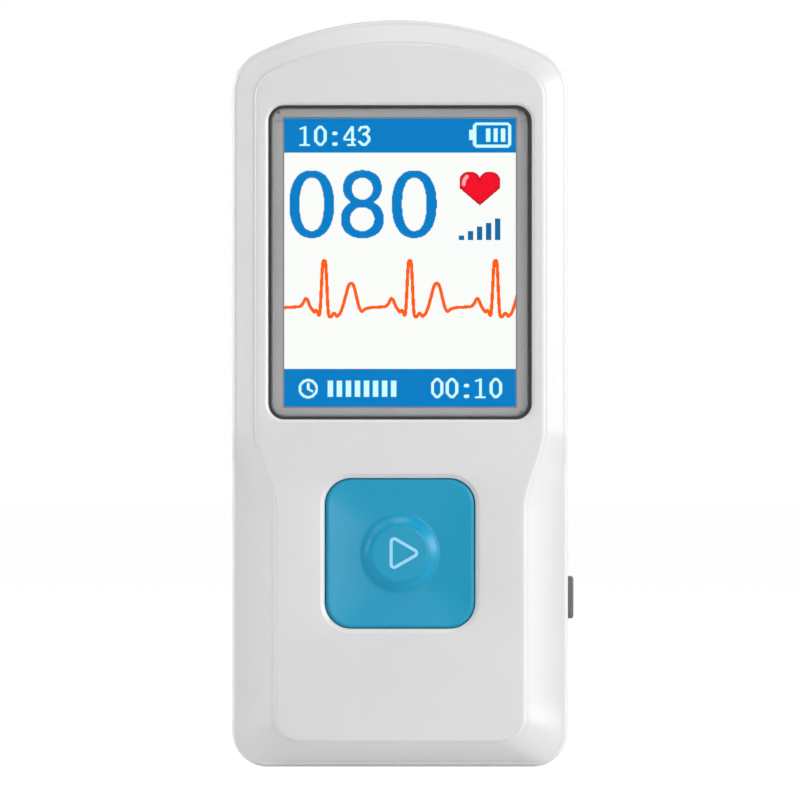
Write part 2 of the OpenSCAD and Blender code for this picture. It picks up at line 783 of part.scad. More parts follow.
// Ring of the key cap's outline, drawn in by inset and then shrunk about the middle to share s
function cap_ring(inset, y, s = 1) =
    let (c = key_w / 2 - key_r, quarter = arc([c, c], key_r - inset, 0, 90, 9),
         turned = [for (a = [0, 90, 180, 270], p = quarter)
                      [p[0] * cos(a) - p[1] * sin(a), p[0] * sin(a) + p[1] * cos(a)]])
    flat([for (p = turned) s * p + [0, key_z]], y);

module start_key() {
    post_r = 2.2;
    color([0.12, 0.6, 0.76]) difference() {
        union() {
            loft(concat([cap_ring(0, key_flange_y + key_flange_t / 2)],
                        [for (a = [0:18:90]) let (r = key_edge_r)
                            cap_ring(r * (1 - cos(a)), key_face_y + r * (1 - sin(a)))],
                        [for (s = [0.85:-0.15:0.25])
                            cap_ring(key_edge_r, key_face_y + key_dish * (1 - s * s), s)]));
            slab(key_flange_y, key_flange_y + key_flange_t) at_2d(0, key_z)
                rounded(key_w + 2 * key_flange, key_w + 2 * key_flange, key_r + key_flange);
            rod(0, key_z, post_r, key_flange_y, plunger_tip_y - play);
            translate([0, key_face_y + key_dish, key_z]) rotate([90, 0, 0])
                cylinder(r1 = boss_r, r2 = boss_top_r, h = boss_h + key_dish);
        }
        slab(key_face_y - boss_h - 1, key_face_y - boss_h + symbol_depth) at_2d(0, key_z)
            symbol_outline();
    }
}

module start_symbol() {
    color([0.6, 0.86, 0.98]) slab(key_face_y - boss_h, key_face_y - boss_h + symbol_depth)
        at_2d(0, key_z) symbol_outline();
}

module side_key() {
    tip_x = body_w / 2 + side_key_proud;
    tip_round = 0.25;
    both = 2 * tip_round;
    bar_r = side_slot_r - key_gap;
    color([0.46, 0.46, 0.47]) {
        cross_slab(side_flange_x, side_flange_x + side_flange_t) translate([parting_y, side_key_z])
            rounded(side_key_w + 2 * side_flange, side_key_l + 2 * side_flange, side_slot_r);
        hull() {
            cross_slab(side_flange_x, tip_x - tip_round) translate([parting_y, side_key_z])
                rounded(side_key_w, side_key_l, bar_r, $fn = 32);
            cross_slab(tip_x - tip_round, tip_x) translate([parting_y, side_key_z])
                rounded(side_key_w - both, side_key_l - both, bar_r - tip_round, $fn = 32);
        }
    }
}

// ---- Charging socket ----

usb_mouth_x = -body_w / 2 + 0.5;
usb_l = 5.4;
usb_wall = 0.25;

module usb_shell() {
    color([0.78, 0.78, 0.79]) difference() {
        cross_slab(usb_mouth_x, usb_mouth_x + usb_l) translate([usb_y, usb_z])
            rounded(usb_t, usb_w, 0.6);
        cross_slab(usb_mouth_x - 1, usb_mouth_x + usb_l - usb_wall) translate([usb_y, usb_z])
            rounded(usb_t - 2 * usb_wall, usb_w - 2 * usb_wall, 0.4);
    }
}

module usb_tongue() {
    base_x = usb_mouth_x + usb_l - usb_wall - 0.8;
    color([0.1, 0.1, 0.1]) {
        cross_slab(usb_mouth_x + 0.6, base_x + 0.1) translate([usb_y + 0.35, usb_z])
            rounded(0.6, 5.2, 0.1);
        cross_slab(base_x, base_x + 0.8) translate([usb_y, usb_z])
            rounded(usb_t - 2 * usb_wall, usb_w - 2 * usb_wall, 0.4);
    }
}

// ---- Battery ----

cell_mid_y = cell_y + cell_t / 2;
circuit_h = 2.4;
lead_r = 0.45;
lead_pitch = 2;

module battery_cell() {
    color([0.75, 0.77, 0.8]) translate([0, cell_mid_y, cell_bottom_z]) linear_extrude(cell_l)
        rounded(cell_w, cell_t, 1.4);
}

module battery_circuit() {
    color([0.85, 0.65, 0.2]) translate([0, cell_mid_y, cell_bottom_z - circuit_h])
        linear_extrude(circuit_h) rounded(cell_w - 5, 1.8, 0.5);
}

module battery_pad() {
    color([0.3, 0.3, 0.32]) slab(rear_inner_y - pad_t, rear_inner_y) at_2d(0, cell_bottom_z + cell_l / 2)
        rounded(cell_w - 6, cell_l - 6, 1);
}

// Point and direction at share t of a bezier curve with the control points p
function curve(p, t) =
    let (s = 1 - t) s * s * s * p[0] + 3 * s * s * t * p[1] + 3 * s * t * t * p[2] + t * t * t * p[3];
function curve_slope(p, t) =
    let (s = 1 - t) s * s * (p[1] - p[0]) + 2 * s * t * (p[2] - p[1]) + t * t * (p[3] - p[2]);

// Wire of radius r in the plane at x, along a bezier curve of four [y, z] points
module wire(x, p, r) {
    loft([for (t = [0:0.125:1])
             let (c = curve(p, t), d = curve_slope(p, t) / norm(curve_slope(p, t)))
             [for (a = [0:36:324])
                 [x + r * cos(a), c[0] + r * sin(a) * d[1], c[1] - r * sin(a) * d[0]]]]);
}

module battery_leads() {
    cell_z = cell_bottom_z - circuit_h;
    bend = (cell_z - plug_top_z) / 2;
    path = [[plug_y, plug_top_z], [plug_y, plug_top_z + bend],
            [cell_mid_y, cell_z - bend], [cell_mid_y, cell_z]];
    for (sx = [-1, 1]) color(sx > 0 ? [0.8, 0.1, 0.1] : [0.1, 0.1, 0.1])
        wire(header_x + sx * lead_pitch / 2, path, lead_r);
}

// ---- Electrodes ----

stud_end_y = rear_inner_y - 0.6;
spring_t = 0.2;
spring_w = 2.6;

module electrode(plate) {
    edge = 0.15;
    color([0.8, 0.8, 0.82]) {
        hull() {
            slab(plate_y, back_y + steel_proud - edge) at_2d(plate[0], plate[1])
                rounded(plate[2], plate[3], plate_r, $fn = 32);
            slab(plate_y, back_y + steel_proud) at_2d(plate[0], plate[1])
                rounded(plate[2] - 2 * edge, plate[3] - 2 * edge, plate_r - edge, $fn = 32);
        }
        rod(plate[0], plate[1], stud_r, stud_end_y, plate_y + 0.1);
    }
}

// Leaf that stands on the board and presses on the end of an electrode's stud
module spring(plate) {
    z = plate[1];
    foot = board_back_y + spring_t / 2;
    head = stud_end_y - spring_t / 2;
    path = [[foot, z - 3], [foot, z + 0.8], [foot + 0.3, z + 1.5], [foot + 1, z + 1.8],
            [head - 0.9, z - 1.3], [head - 0.2, z - 0.9], [head, z - 0.3], [head, z + 0.5],
            [head - 0.4, z + 1.2]];
    color([0.85, 0.7, 0.35]) bent_strip(path, spring_t, plate[0], spring_w);
}

module electrode_upper() { electrode(upper_plate); }
module electrode_left() { electrode(left_plate); }
module electrode_right() { electrode(right_plate); }
module spring_upper() { spring(upper_plate); }
module spring_left() { spring(left_plate); }
module spring_right() { spring(right_plate); }

// ---- Screws ----

// Screw driven from behind: cross recess in a flat head at head_y, shank forward to tip_y
module screw(head_r, head_y, head_h, r, tip_y) {
    cross = 0.5 * head_r;
    difference() {
        union() {
            rod(0, 0, head_r, head_y, head_y + head_h);
            rod(0, 0, r, tip_y, head_y + 0.1);
        }
        for (turn = [0, 90]) rotate([0, turn, 0]) translate([-cross, head_y + 0.4 * head_h, -0.15])
            cube([2 * cross, head_h, 0.3]);
    }
}

module cover_screws() {
    color([0.7, 0.7, 0.72]) cover_screw_places()
        screw(counterbore_r - 0.2, back_y - counterbore_h, 1.1, screw_r, front_inner_y + 1.6);
}

module board_screws() {
    color([0.7, 0.7, 0.72]) board_post_places()
        screw(1.3, board_back_y, 0.7, board_screw_r, front_inner_y + 1.2);
}

front_cover();
rear_cover();
display_lens();
lens_border();
lens_gasket();
lens_adhesive();
display_foam();
display_glass();
display_driver();
light_guide();
backlight_tray();
display_ribbon();
main_board();
processor();
ecg_amplifier();
memory_chip();
charger_chip();
clock_crystal();
chip_passives();
start_switch();
start_plunger();
side_switch();
side_plunger();
usb_shell();
usb_tongue();
start_key();
start_symbol();
side_key();
battery_cell();
battery_circuit();
battery_pad();
battery_leads();
battery_plug();
battery_header();
electrode_upper();
electrode_left();
electrode_right();
spring_upper();
spring_left();
spring_right();
cover_screws();
board_screws();
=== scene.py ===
"""Pocket heart-rhythm monitor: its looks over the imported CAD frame. Metres, X right seen from the front,
Y to the back, Z up, origin in the middle of the flat end that the monitor stands on."""
import bmesh
import bpy
import numpy as np
from math import cos, pi, radians, sin, sqrt
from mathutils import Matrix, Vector
from mathutils.geometry import tessellate_polygon


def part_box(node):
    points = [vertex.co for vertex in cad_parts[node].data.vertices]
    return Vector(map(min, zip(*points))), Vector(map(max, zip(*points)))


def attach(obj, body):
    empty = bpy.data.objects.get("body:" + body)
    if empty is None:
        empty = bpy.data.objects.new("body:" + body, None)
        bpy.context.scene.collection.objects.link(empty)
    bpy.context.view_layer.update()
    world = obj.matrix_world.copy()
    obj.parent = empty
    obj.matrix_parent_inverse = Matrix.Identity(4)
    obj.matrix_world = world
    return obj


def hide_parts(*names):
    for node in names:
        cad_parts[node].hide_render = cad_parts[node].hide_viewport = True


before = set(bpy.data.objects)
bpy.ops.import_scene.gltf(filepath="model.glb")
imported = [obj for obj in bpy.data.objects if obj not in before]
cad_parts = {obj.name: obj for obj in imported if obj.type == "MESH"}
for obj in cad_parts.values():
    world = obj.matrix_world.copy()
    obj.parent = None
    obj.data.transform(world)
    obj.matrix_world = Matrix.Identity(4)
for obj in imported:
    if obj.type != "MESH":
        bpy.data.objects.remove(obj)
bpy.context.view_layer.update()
mm = 0.001
housing = "housing"

# ---- Front cover ----
# The front half of the housing, injection moulded in light grey plastic with a fine satin grain: a raised
# panel, waisted between two scooped finger grips, bevels round it, and the openings for lens and start key.
# It is screwed to the rear cover through four posts, and the board sits on four shorter ones.
cover_lo, cover_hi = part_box("front_cover")
side_x = cover_hi.x
head_z = cover_hi.z
panel_y = cover_lo.y
parting_y = panel_y + 7.5 * mm
wall = 1.5 * mm
half_reveal = 0.08 * mm
lip_h = 1 * mm
lip_gap = 0.1 * mm
head_arc_r, head_corner_r, foot_corner_r = 44 * mm, 6 * mm, 4.7 * mm
edge_w, edge_h = 0.6 * mm, 0.9 * mm
side_bevel, grip_bevel, head_bevel, foot_bevel = 3.4 * mm, 6 * mm, 3.5 * mm, 3.6 * mm
side_drop, grip_drop, foot_drop, grip_scoop = 1.9 * mm, 2.7 * mm, 2.2 * mm, 0.3 * mm
panel_arc_r, panel_head_r, panel_foot_r = 42 * mm, 4 * mm, 3.4 * mm
ridge_w, ridge_h, groove = 0.3 * mm, 0.3 * mm, 0.1 * mm
crease_angle = radians(16)
crease_z = foot_bevel + panel_foot_r * (1 - sin(crease_angle))
waist_low, waist_high = 34.5 * mm, 45.5 * mm
grip_low, grip_high = 40 * mm, 45 * mm
scoop_low, scoop_high = crease_z - 1 * mm, crease_z + 2.5 * mm
corner_bulge = 0.2 * mm
seam_band = 2.6 * mm
foot_steps, corner_steps, crown_steps = 14, 16, 28

# Slots that the side key and the charging socket reach through, half in each cover
side_key_z = 22.6 * mm
key_slot = dict(y=parting_y, half_y=1.75 * mm, half_z=3 * mm, r=1 * mm)
socket_slot = dict(y=0.1 * mm, half_y=1.6 * mm, half_z=4.1 * mm, r=0.9 * mm)


def arc(cx, cz, r, a0, a1, n):
    """n + 1 points on a circle about (cx, cz), from angle a0 to a1 in degrees."""
    a = np.radians(np.linspace(a0, a1, n + 1))
    return np.stack([cx + r * np.cos(a), cz + r * np.sin(a)], 1)


def ease(v, a, b):
    """Share that runs smoothly from 0 at a to 1 at b: 3t^2 - 2t^3."""
    t = np.clip((v - a) / (b - a), 0, 1)
    return t * t * (3 - 2 * t)


def slot_path(slot, n=10):
    """Half of a rounded slot's edge as n points a stretch: in along its low side, across, and out again,
    as distances in front of the slot's middle and heights about it."""
    h, d, r = slot["half_z"], slot["half_y"], slot["r"]
    low = arc(-h + r, -(d - r), r, 180, 270, n)
    high = arc(h - r, -(d - r), r, 270, 360, n)
    half = np.concatenate([[[-h, 0]], [[-h, -(d - r) / 2]], low, [[0, -d]], high,
                           [[h, -(d - r) / 2]], [[h, 0]]])
    return half[:, 0] + side_key_z, half[:, 1]


def side_stretch(slot):
    """Heights of a side from the foot corner to the head corner, and where the slot's points lie in them.
    Beside the slot a point stands at its height, moved outwards the more the less deep the slot is there."""
    z, d = slot_path(slot)
    lo, hi = side_key_z - slot["half_z"], side_key_z + slot["half_z"]
    across_slot = z + 0.5 * mm * (1 + d / slot["half_y"]) * np.sign(z - side_key_z)
    below = np.linspace(crease_z + 0.3 * mm, lo - 0.8 * mm, 16)
    above = np.concatenate([np.linspace(hi + 0.8 * mm, waist_low - 0.5 * mm, 8),
                            np.linspace(waist_low, waist_high + 0.5 * mm, 36),
                            np.linspace(waist_high + 2.5 * mm, straight_top_z, 10)])
    return np.concatenate([below, across_slot, above]), slice(len(below), len(below) + len(z))


def head_end(x, arc_z, arc_r, r, inset):
    """Corner circle of radius r that touches the side at x and the head arc, then the arc to the crown."""
    cx = x - r
    cz = arc_z + sqrt((arc_r - r) ** 2 - cx ** 2)
    a = np.degrees(np.arctan2(cz - arc_z, cx))
    crown = arc(0, arc_z, arc_r - inset, a, 90, crown_steps)
    return np.concatenate([arc(cx, cz, r - inset, 0, a, corner_steps), crown[1:]])


def housing_half(inset, z):
    """The housing's right half outline, drawn in by inset: foot corner, straight side, head."""
    foot = arc(side_x - foot_corner_r, foot_corner_r, foot_corner_r - inset, -90, 0, foot_steps)
    side = np.stack([np.full(len(z), side_x - inset), z], 1)
    head = head_end(side_x, head_z - head_arc_r, head_arc_r, head_corner_r, inset)
    return np.concatenate([foot, side, head])


def panel_half(inset, z):
    """The raised panel's right half outline, point for point beside the housing's: foot corner, grip and
    waist, straight side, head."""
    x = side_x - grip_bevel
    foot = arc(x - panel_foot_r * cos(crease_angle), foot_bevel + panel_foot_r, panel_foot_r - inset,
               -90, -np.degrees(crease_angle), foot_steps)
    side = np.stack([x + (grip_bevel - side_bevel) * ease(z, waist_low, waist_high) - inset, z], 1)
    head = head_end(side_x - side_bevel, head_z - head_bevel - panel_arc_r, panel_arc_r, panel_head_r, inset)
    return np.concatenate([foot, side, head])


head_corner_z = head_z - head_bevel - panel_arc_r + sqrt(
    (panel_arc_r - panel_head_r) ** 2 - (side_x - side_bevel - panel_head_r) ** 2)
straight_top_z = head_corner_z - 0.6 * mm
right_z, right_slot = side_stretch(key_slot)
left_z, left_slot = side_stretch(socket_slot)


def ring(half, inset):
    """A whole outline, anticlockwise seen from the front: the right half up, then the left half down."""
    right, left = half(inset, right_z), half(inset, left_z)
    return np.concatenate([right, (left * [-1, 1])[-2::-1]])


def slot_edge(points, y, sign):
    """A ring at depth y whose straight sides run in round both slots: sign -1 cuts forwards, +1 backwards."""
    n = len(points)
    depth = np.full(n, y)
    for slot, place, right in ((key_slot, right_slot, True), (socket_slot, left_slot, False)):
        z, d = slot_path(slot)
        i = np.arange(place.start, place.stop) + foot_steps + 1
        i = i if right else n - 1 - i
        points[i, 1] = z
        edge = slot["y"] - sign * d
        depth[i] = np.maximum(edge, y) if sign > 0 else np.minimum(edge, y)
    return np.stack([points[:, 0], depth, points[:, 1]], 1)


def flat(points, y):
    return np.stack([points[:, 0], np.full(len(points), y), points[:, 1]], 1)


def edge_drop(z):
    """How far the bevel's outer edge lies behind the panel: deeper in the grips, with a soft swell where a
    grip runs into the foot corner."""
    t = np.clip(1 - z / foot_corner_r, 0, 1)
    foot = grip_drop + (foot_drop - grip_drop) * t + corner_bulge * np.sin(pi * t)
    side = side_drop + (grip_drop - side_drop) * (1 - ease(z, grip_low, grip_high))
    return np.where(z < foot_corner_r, foot, side)


def on_edge(points, lift):
    return np.stack([points[:, 0], panel_y + edge_drop(points[:, 1]) + lift, points[:, 1]], 1)


def front_rings(o, edge_steps, bevel_steps):
    """Rings of the front cover's skin, o inside the outer one, from the side wall to the panel: a quarter
    ellipse, a bevel hollowed by 4u(1-u) where the grips are, and a small step with a quarter ellipse edge."""
    rings = [flat(ring(housing_half, o), parting_y - seam_band)]
    for a in np.linspace(0, pi / 2, edge_steps)[:-1]:
        rings.append(on_edge(ring(housing_half, o + edge_w * (1 - cos(a))), o + edge_h * (1 - sin(a))))
    outer = on_edge(ring(housing_half, o + edge_w), o)
    inner = flat(ring(panel_half, o - ridge_w), panel_y + o + ridge_h)
    z = outer[:, 2]
    share = ease(z, scoop_low, scoop_high) * (1 - ease(z, grip_low, grip_high))
    for u in np.linspace(0, 1, bevel_steps):
        hollow = np.stack([0 * z, 4 * u * (1 - u) * grip_scoop * share, 0 * z], 1)
        rings.append(outer * (1 - u) + inner * u + hollow)
    rings[-1][:, 1] += groove
    for a in np.linspace(0, pi / 2, edge_steps)[1:]:
        inset = o + ridge_w * (0.5 - 1.5 * cos(a))
        rings.append(flat(ring(panel_half, inset), panel_y + o + ridge_h * (1 - sin(a))))
    return rings


def rounded(cx, cz, w, h, r, n=12):
    """Rounded rectangle about (cx, cz), anticlockwise, with n steps in each corner of radius r."""
    x, z = w / 2 - r, h / 2 - r
    return np.concatenate([arc(cx + sx * x, cz + sz * z, r, a, a + 90, n)
                           for sx, sz, a in ((1, 1, 0), (-1, 1, 90), (-1, -1, 180), (1, -1, 270))])


class Skin:
    """Collects rings and the walls between them, and closes flat faces, then makes one mesh of it all."""

    def __init__(self):
        self.points, self.quads, self.triangles, self.count = [], [], [], 0

    def add(self, points):
        start = self.count
        self.points.append(np.asarray(points, float))
        self.count += len(points)
        return np.arange(start, self.count)

    def wall(self, a, b):
        """Quads between two closed rings of equal count, point for point."""
        self.quads.append(np.stack([a, np.roll(a, -1), np.roll(b, -1), b], 1))

    def tube(self, rings):
        """Walls along a list of rings; returns the first and the last ring's point numbers."""
        ids = [self.add(r) for r in rings]
        for a, b in zip(ids, ids[1:]):
            self.wall(a, b)
        return ids[0], ids[-1]

    def face(self, outline, *holes):
        """Closes a flat outline round its holes with triangles."""
        across_and_up = np.concatenate(self.points)[:, [0, 2]]
        loops = [outline, *holes]
        made = tessellate_polygon([across_and_up[i].tolist() for i in loops])
        self.triangles.append(np.concatenate(loops)[np.array(made)])

    def closed(self, rings):
        """A solid along a list of rings, both its ends closed about their middles."""
        first, last = self.tube(rings)
        for ids in (first, last):
            centre = self.add([np.concatenate(self.points)[ids].mean(0)])
            self.triangles.append(np.stack([ids, np.roll(ids, -1), np.full(len(ids), centre[0])], 1))

    def mesh(self, name, sharp=30, merge=2e-4 * mm):
        """The piece: doubles merged, faces turned outwards, smooth except at edges over sharp degrees."""
        made = bpy.data.meshes.new(name)
        triangles = np.concatenate([np.empty((0, 3), int), *self.triangles])
        faces = np.concatenate(self.quads).tolist() + triangles.tolist()
        made.from_pydata(np.concatenate(self.points).tolist(), [], faces)
        bm = bmesh.new()
        bm.from_mesh(made)
        bmesh.ops.remove_doubles(bm, verts=bm.verts, dist=merge)
        bmesh.ops.dissolve_degenerate(bm, edges=bm.edges, dist=merge / 2)
        bmesh.ops.recalc_face_normals(bm, faces=bm.faces)
        bm.to_mesh(made)
        bm.free()
        made.polygons.foreach_set("use_smooth", np.ones(len(made.polygons), bool))
        made.set_sharp_from_angle(angle=radians(sharp))
        piece = bpy.data.objects.new(name, made)
        bpy.context.scene.collection.objects.link(piece)
        return piece


def node_material(name):
    made = bpy.data.materials.new(name)
    made.use_nodes = True
    return made, made.node_tree.nodes, made.node_tree.links, made.node_tree.nodes["Principled BSDF"]


def tone(made, share, start, end, dark, light):
    """Base colour that runs from dark to light while the share goes from start to end."""
    nodes, links = made.node_tree.nodes, made.node_tree.links
    ramp = nodes.new("ShaderNodeValToRGB")
    ramp.color_ramp.elements[0].position, ramp.color_ramp.elements[1].position = start, end
    ramp.color_ramp.elements[0].color = [*dark, 1]
    ramp.color_ramp.elements[1].color = [*light, 1]
    links.new(share, ramp.inputs["Fac"])
    links.new(ramp.outputs["Color"], nodes["Principled BSDF"].inputs["Base Color"])


def relief(made, height, smooth, matt, strength, depth):
    """Bump of this strength and depth, and a roughness from smooth to matt that follows the same height."""
    nodes, links = made.node_tree.nodes, made.node_tree.links
    spread = nodes.new("ShaderNodeMapRange")
    spread.inputs["To Min"].default_value = smooth
    spread.inputs["To Max"].default_value = matt
    bump = nodes.new("ShaderNodeBump")
    bump.inputs["Strength"].default_value = strength
    bump.inputs["Distance"].default_value = depth
    links.new(height, spread.inputs["Value"])
    links.new(spread.outputs["Result"], nodes["Principled BSDF"].inputs["Roughness"])
    links.new(height, bump.inputs["Height"])
    links.new(bump.outputs["Normal"], nodes["Principled BSDF"].inputs["Normal"])


def moulded(name, colour, rough, grain=0.12 * mm, grain_depth=0.02 * mm, cloud=0.015, gloss=0.5):
    """Moulded plastic: a base colour that drifts a little over centimetres, a fine spark-eroded grain in the
    bump, and a roughness that follows the same grain."""
    made, nodes, links, shader = node_material(name)
    place = nodes.new("ShaderNodeTexCoord")
    drift = nodes.new("ShaderNodeTexNoise")
    drift.inputs["Scale"].default_value = 1 / (18 * mm)
    drift.inputs["Detail"].default_value = 3
    speck = nodes.new("ShaderNodeTexNoise")
    speck.inputs["Scale"].default_value = 1 / grain
    speck.inputs["Detail"].default_value = 2
    links.new(place.outputs["Object"], drift.inputs["Vector"])
    links.new(place.outputs["Object"], speck.inputs["Vector"])
    dark, light = [c * (1 - cloud) for c in colour], [min(1, c * (1 + cloud)) for c in colour]
    tone(made, drift.outputs["Fac"], 0.3, 0.7, dark, light)
    relief(made, speck.outputs["Fac"], rough - 0.05, rough + 0.05, 0.25, grain_depth)
    shader.inputs["Specular IOR Level"].default_value = gloss
    return made


light_grey_plastic = moulded("light_grey_plastic", (0.69, 0.69, 0.69), 0.34)

# The openings for the lens and the start key, and the posts behind the panel
lens_lo, lens_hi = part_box("display_lens")
display_z = (lens_lo.z + lens_hi.z) / 2
lens_w, lens_h = lens_hi.x - lens_lo.x, lens_hi.z - lens_lo.z
gasket_w = 0.45 * mm
seat_w, seat_h, seat_r = lens_w + 2 * gasket_w, lens_h + 2 * gasket_w, 2.15 * mm
seat_y, foam_y = -6.35 * mm, -5.55 * mm
window_w, window_h, window_r = 32 * mm, 39.6 * mm, 0.6 * mm
seat_rim = 1.2 * mm
key_z = 28.6 * mm
key_hole_w, key_hole_r = 20.1 * mm, 3.5 * mm
lens_flare, key_flare, mouth_slope = 0.4 * mm, 0.65 * mm, 0.6
cover_inner_y = panel_y + wall
post_sink = 0.2 * mm
screw_x, screw_zs = 15.5 * mm, (8.2 * mm, head_z - 8.2 * mm)
screw_post_r, screw_post_bore = 2.2 * mm, 0.95 * mm
board_x, board_zs, board_y = 13 * mm, (13.6 * mm, 42.1 * mm), -2.2 * mm
board_post_r, board_post_bore = 1.9 * mm, 0.7 * mm


def mouth_rings(cz, w, h, r, flare):
    """An opening's rim, from the flat panel down: a slanted lip with soft edges, then the straight wall.
    Each step is a share of the flare outwards and of its depth."""
    steps = [(1.06, 0), (1, 0.01), (0.9, 0.07), (0.8, 0.18), (0.2, 0.82), (0.06, 1.0), (0, 1.25)]
    return [flat(rounded(0, cz, w + 2 * o * flare, h + 2 * o * flare, r + o * flare),
                 panel_y + d * flare * mouth_slope) for o, d in steps]


front = Skin()
outer_ids = front.tube(front_rings(0, 8, 13))
outer_rim = front.add(flat(ring(panel_half, 0.6 * ridge_w), panel_y))
front.wall(outer_ids[1], outer_rim)
inner_ids = front.tube(front_rings(wall, 4, 3))
lip_y = parting_y - lip_h - lip_gap
parting = [slot_edge(ring(housing_half, 0), parting_y - half_reveal, -1),
           slot_edge(ring(housing_half, wall / 2), parting_y - half_reveal, -1),
           slot_edge(ring(housing_half, wall / 2), lip_y, -1),
           slot_edge(ring(housing_half, wall), lip_y, -1)]
first, last = front.tube(parting)
front.wall(outer_ids[0], first)
front.wall(inner_ids[0], last)
seat = mouth_rings(display_z, seat_w, seat_h, seat_r, lens_flare)
seat += [flat(rounded(0, display_z, w, h, r), y) for w, h, r, y in (
    (seat_w, seat_h, seat_r, seat_y), (window_w, window_h, window_r, seat_y),
    (window_w, window_h, window_r, foam_y),
    (seat_w + 2 * seat_rim, seat_h + 2 * seat_rim, seat_r + seat_rim, foam_y),
    (seat_w + 2 * seat_rim, seat_h + 2 * seat_rim, seat_r + seat_rim, cover_inner_y))]
seat_ids = front.tube(seat)
key_mouth = mouth_rings(key_z, key_hole_w, key_hole_w, key_hole_r, key_flare)
key_mouth += [flat(rounded(0, key_z, key_hole_w, key_hole_w, key_hole_r), cover_inner_y)]
key_ids = front.tube(key_mouth)
front.face(outer_rim, seat_ids[0], key_ids[0])
front.face(inner_ids[1], seat_ids[1], key_ids[1])


def post(skin, x, z, r, bore, y0, y1, n=32):
    """A round post from depth y0 to y1 with a bore open at y1, as one profile turned about its axis."""
    on = mm if y1 > y0 else -mm
    profile = [(r, y0), (r, y1 - 0.1 * on), (r - 0.1 * mm, y1), (bore, y1), (bore, y0 + 0.6 * on)]
    skin.closed([flat(arc(x, z, radius, 0, 360, n)[:-1], y) for radius, y in profile])


for sx in (-1, 1):
    for z in screw_zs:
        post(front, sx * screw_x, z, screw_post_r, screw_post_bore, cover_inner_y - post_sink,
             parting_y - half_reveal)
    for z in board_zs:
        post(front, sx * board_x, z, board_post_r, board_post_bore, cover_inner_y - post_sink, board_y)
front_shell = front.mesh("front_shell", 24)
front_shell.data.materials.append(light_grey_plastic)
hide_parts("front_cover")
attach(front_shell, housing)

# ---- Rear cover ----
# The back half of the housing, moulded in the same plastic: a plain shell with a rounded edge, shallow beds
# for the three electrodes, and four sunk holes for the screws. Its lip fits inside the front cover.
back_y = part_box("rear_cover")[1].y
rear_edge_r = 2 * mm
bed_y = back_y - 0.3 * mm
rear_inner_y = back_y - wall
stud_hole_r = 1.3 * mm
sink_r = 1.9 * mm
rear_post_bore = 1.05 * mm
plates = {"electrode_upper": (0, 82 * mm, 26 * mm, 12 * mm),
          "electrode_left": (-9.5 * mm, 23 * mm, 13.5 * mm, 19 * mm),
          "electrode_right": (9.5 * mm, 23 * mm, 13.5 * mm, 19 * mm)}
plate_r = 2 * mm
bed_gap = 0.1 * mm


def rear_rings(o, r, steps):
    """Rings of the rear cover's skin, o inside the outer one: the side wall, then a quarter round."""
    rings = [flat(ring(housing_half, o), parting_y + seam_band)]
    for a in np.linspace(0, pi / 2, steps):
        rings.append(flat(ring(housing_half, o + r * (1 - cos(a))), back_y - o - r * (1 - sin(a))))
    return rings


rear = Skin()
outer_ids = rear.tube(rear_rings(0, rear_edge_r, 12))
outer_rim = rear.add(flat(ring(housing_half, rear_edge_r + 0.05 * mm), back_y))
rear.wall(outer_ids[1], outer_rim)
inner_ids = rear.tube(rear_rings(wall, rear_edge_r - wall, 4))
lip_inset = wall / 2 + lip_gap
parting = [slot_edge(ring(housing_half, o), y, 1) for o, y in (
    (0, parting_y + half_reveal), (lip_inset, parting_y + half_reveal), (lip_inset, parting_y - lip_h),
    (wall, parting_y - lip_h))]
first, last = rear.tube(parting)
rear.wall(outer_ids[0], first)
rear.wall(inner_ids[0], last)
outer_holes, inner_holes = [], []
for x, z, w, h in plates.values():
    bed = [rounded(x, z, w + 2 * o, h + 2 * o, plate_r + o) for o in (bed_gap + 0.1 * mm, bed_gap)]
    rim_id, bed_id = rear.tube([flat(bed[0], back_y), flat(bed[1], back_y - 0.04 * mm), flat(bed[1], bed_y)])
    hole = arc(x, z, stud_hole_r, 0, 360, 32)[:-1]
    hole_id, inner_id = rear.tube([flat(hole, bed_y), flat(hole, rear_inner_y)])
    rear.face(bed_id, hole_id)
    outer_holes.append(rim_id)
    inner_holes.append(inner_id)
for sx in (-1, 1):
    for z in screw_zs:
        sink = [flat(arc(sx * screw_x, z, r, 0, 360, 48)[:-1], y) for r, y in (
            (sink_r + 0.1 * mm, back_y), (sink_r, back_y - 0.08 * mm), (sink_r, rear_inner_y))]
        rim_id, inner_id = rear.tube(sink)
        outer_holes.append(rim_id)
        inner_holes.append(inner_id)
        post(rear, sx * screw_x, z, screw_post_r, rear_post_bore, rear_inner_y + 0.05 * mm,
             parting_y + half_reveal)
rear.face(outer_rim, *outer_holes)
rear.face(inner_ids[1], *inner_holes)
rear_shell = rear.mesh("rear_shell", 24)
rear_shell.data.materials.append(light_grey_plastic)
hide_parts("rear_cover")
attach(rear_shell, housing)

# ---- Lens ----
# A flat polished window, glued into its seat, with a grey border printed on its back and a dark gasket round
# it; the border's inner edge carries painted shade where it meets the picture. The adhesive frame and the
# foam behind keep dust off the display.
picture_w, picture_h = 31 * mm, 38.6 * mm


def finish(material, *names):
    """Gives CAD nodes that keep their own shape a material."""
    for n in names:
        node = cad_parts[n]
        node.data.materials.clear()
        node.data.materials.append(material)


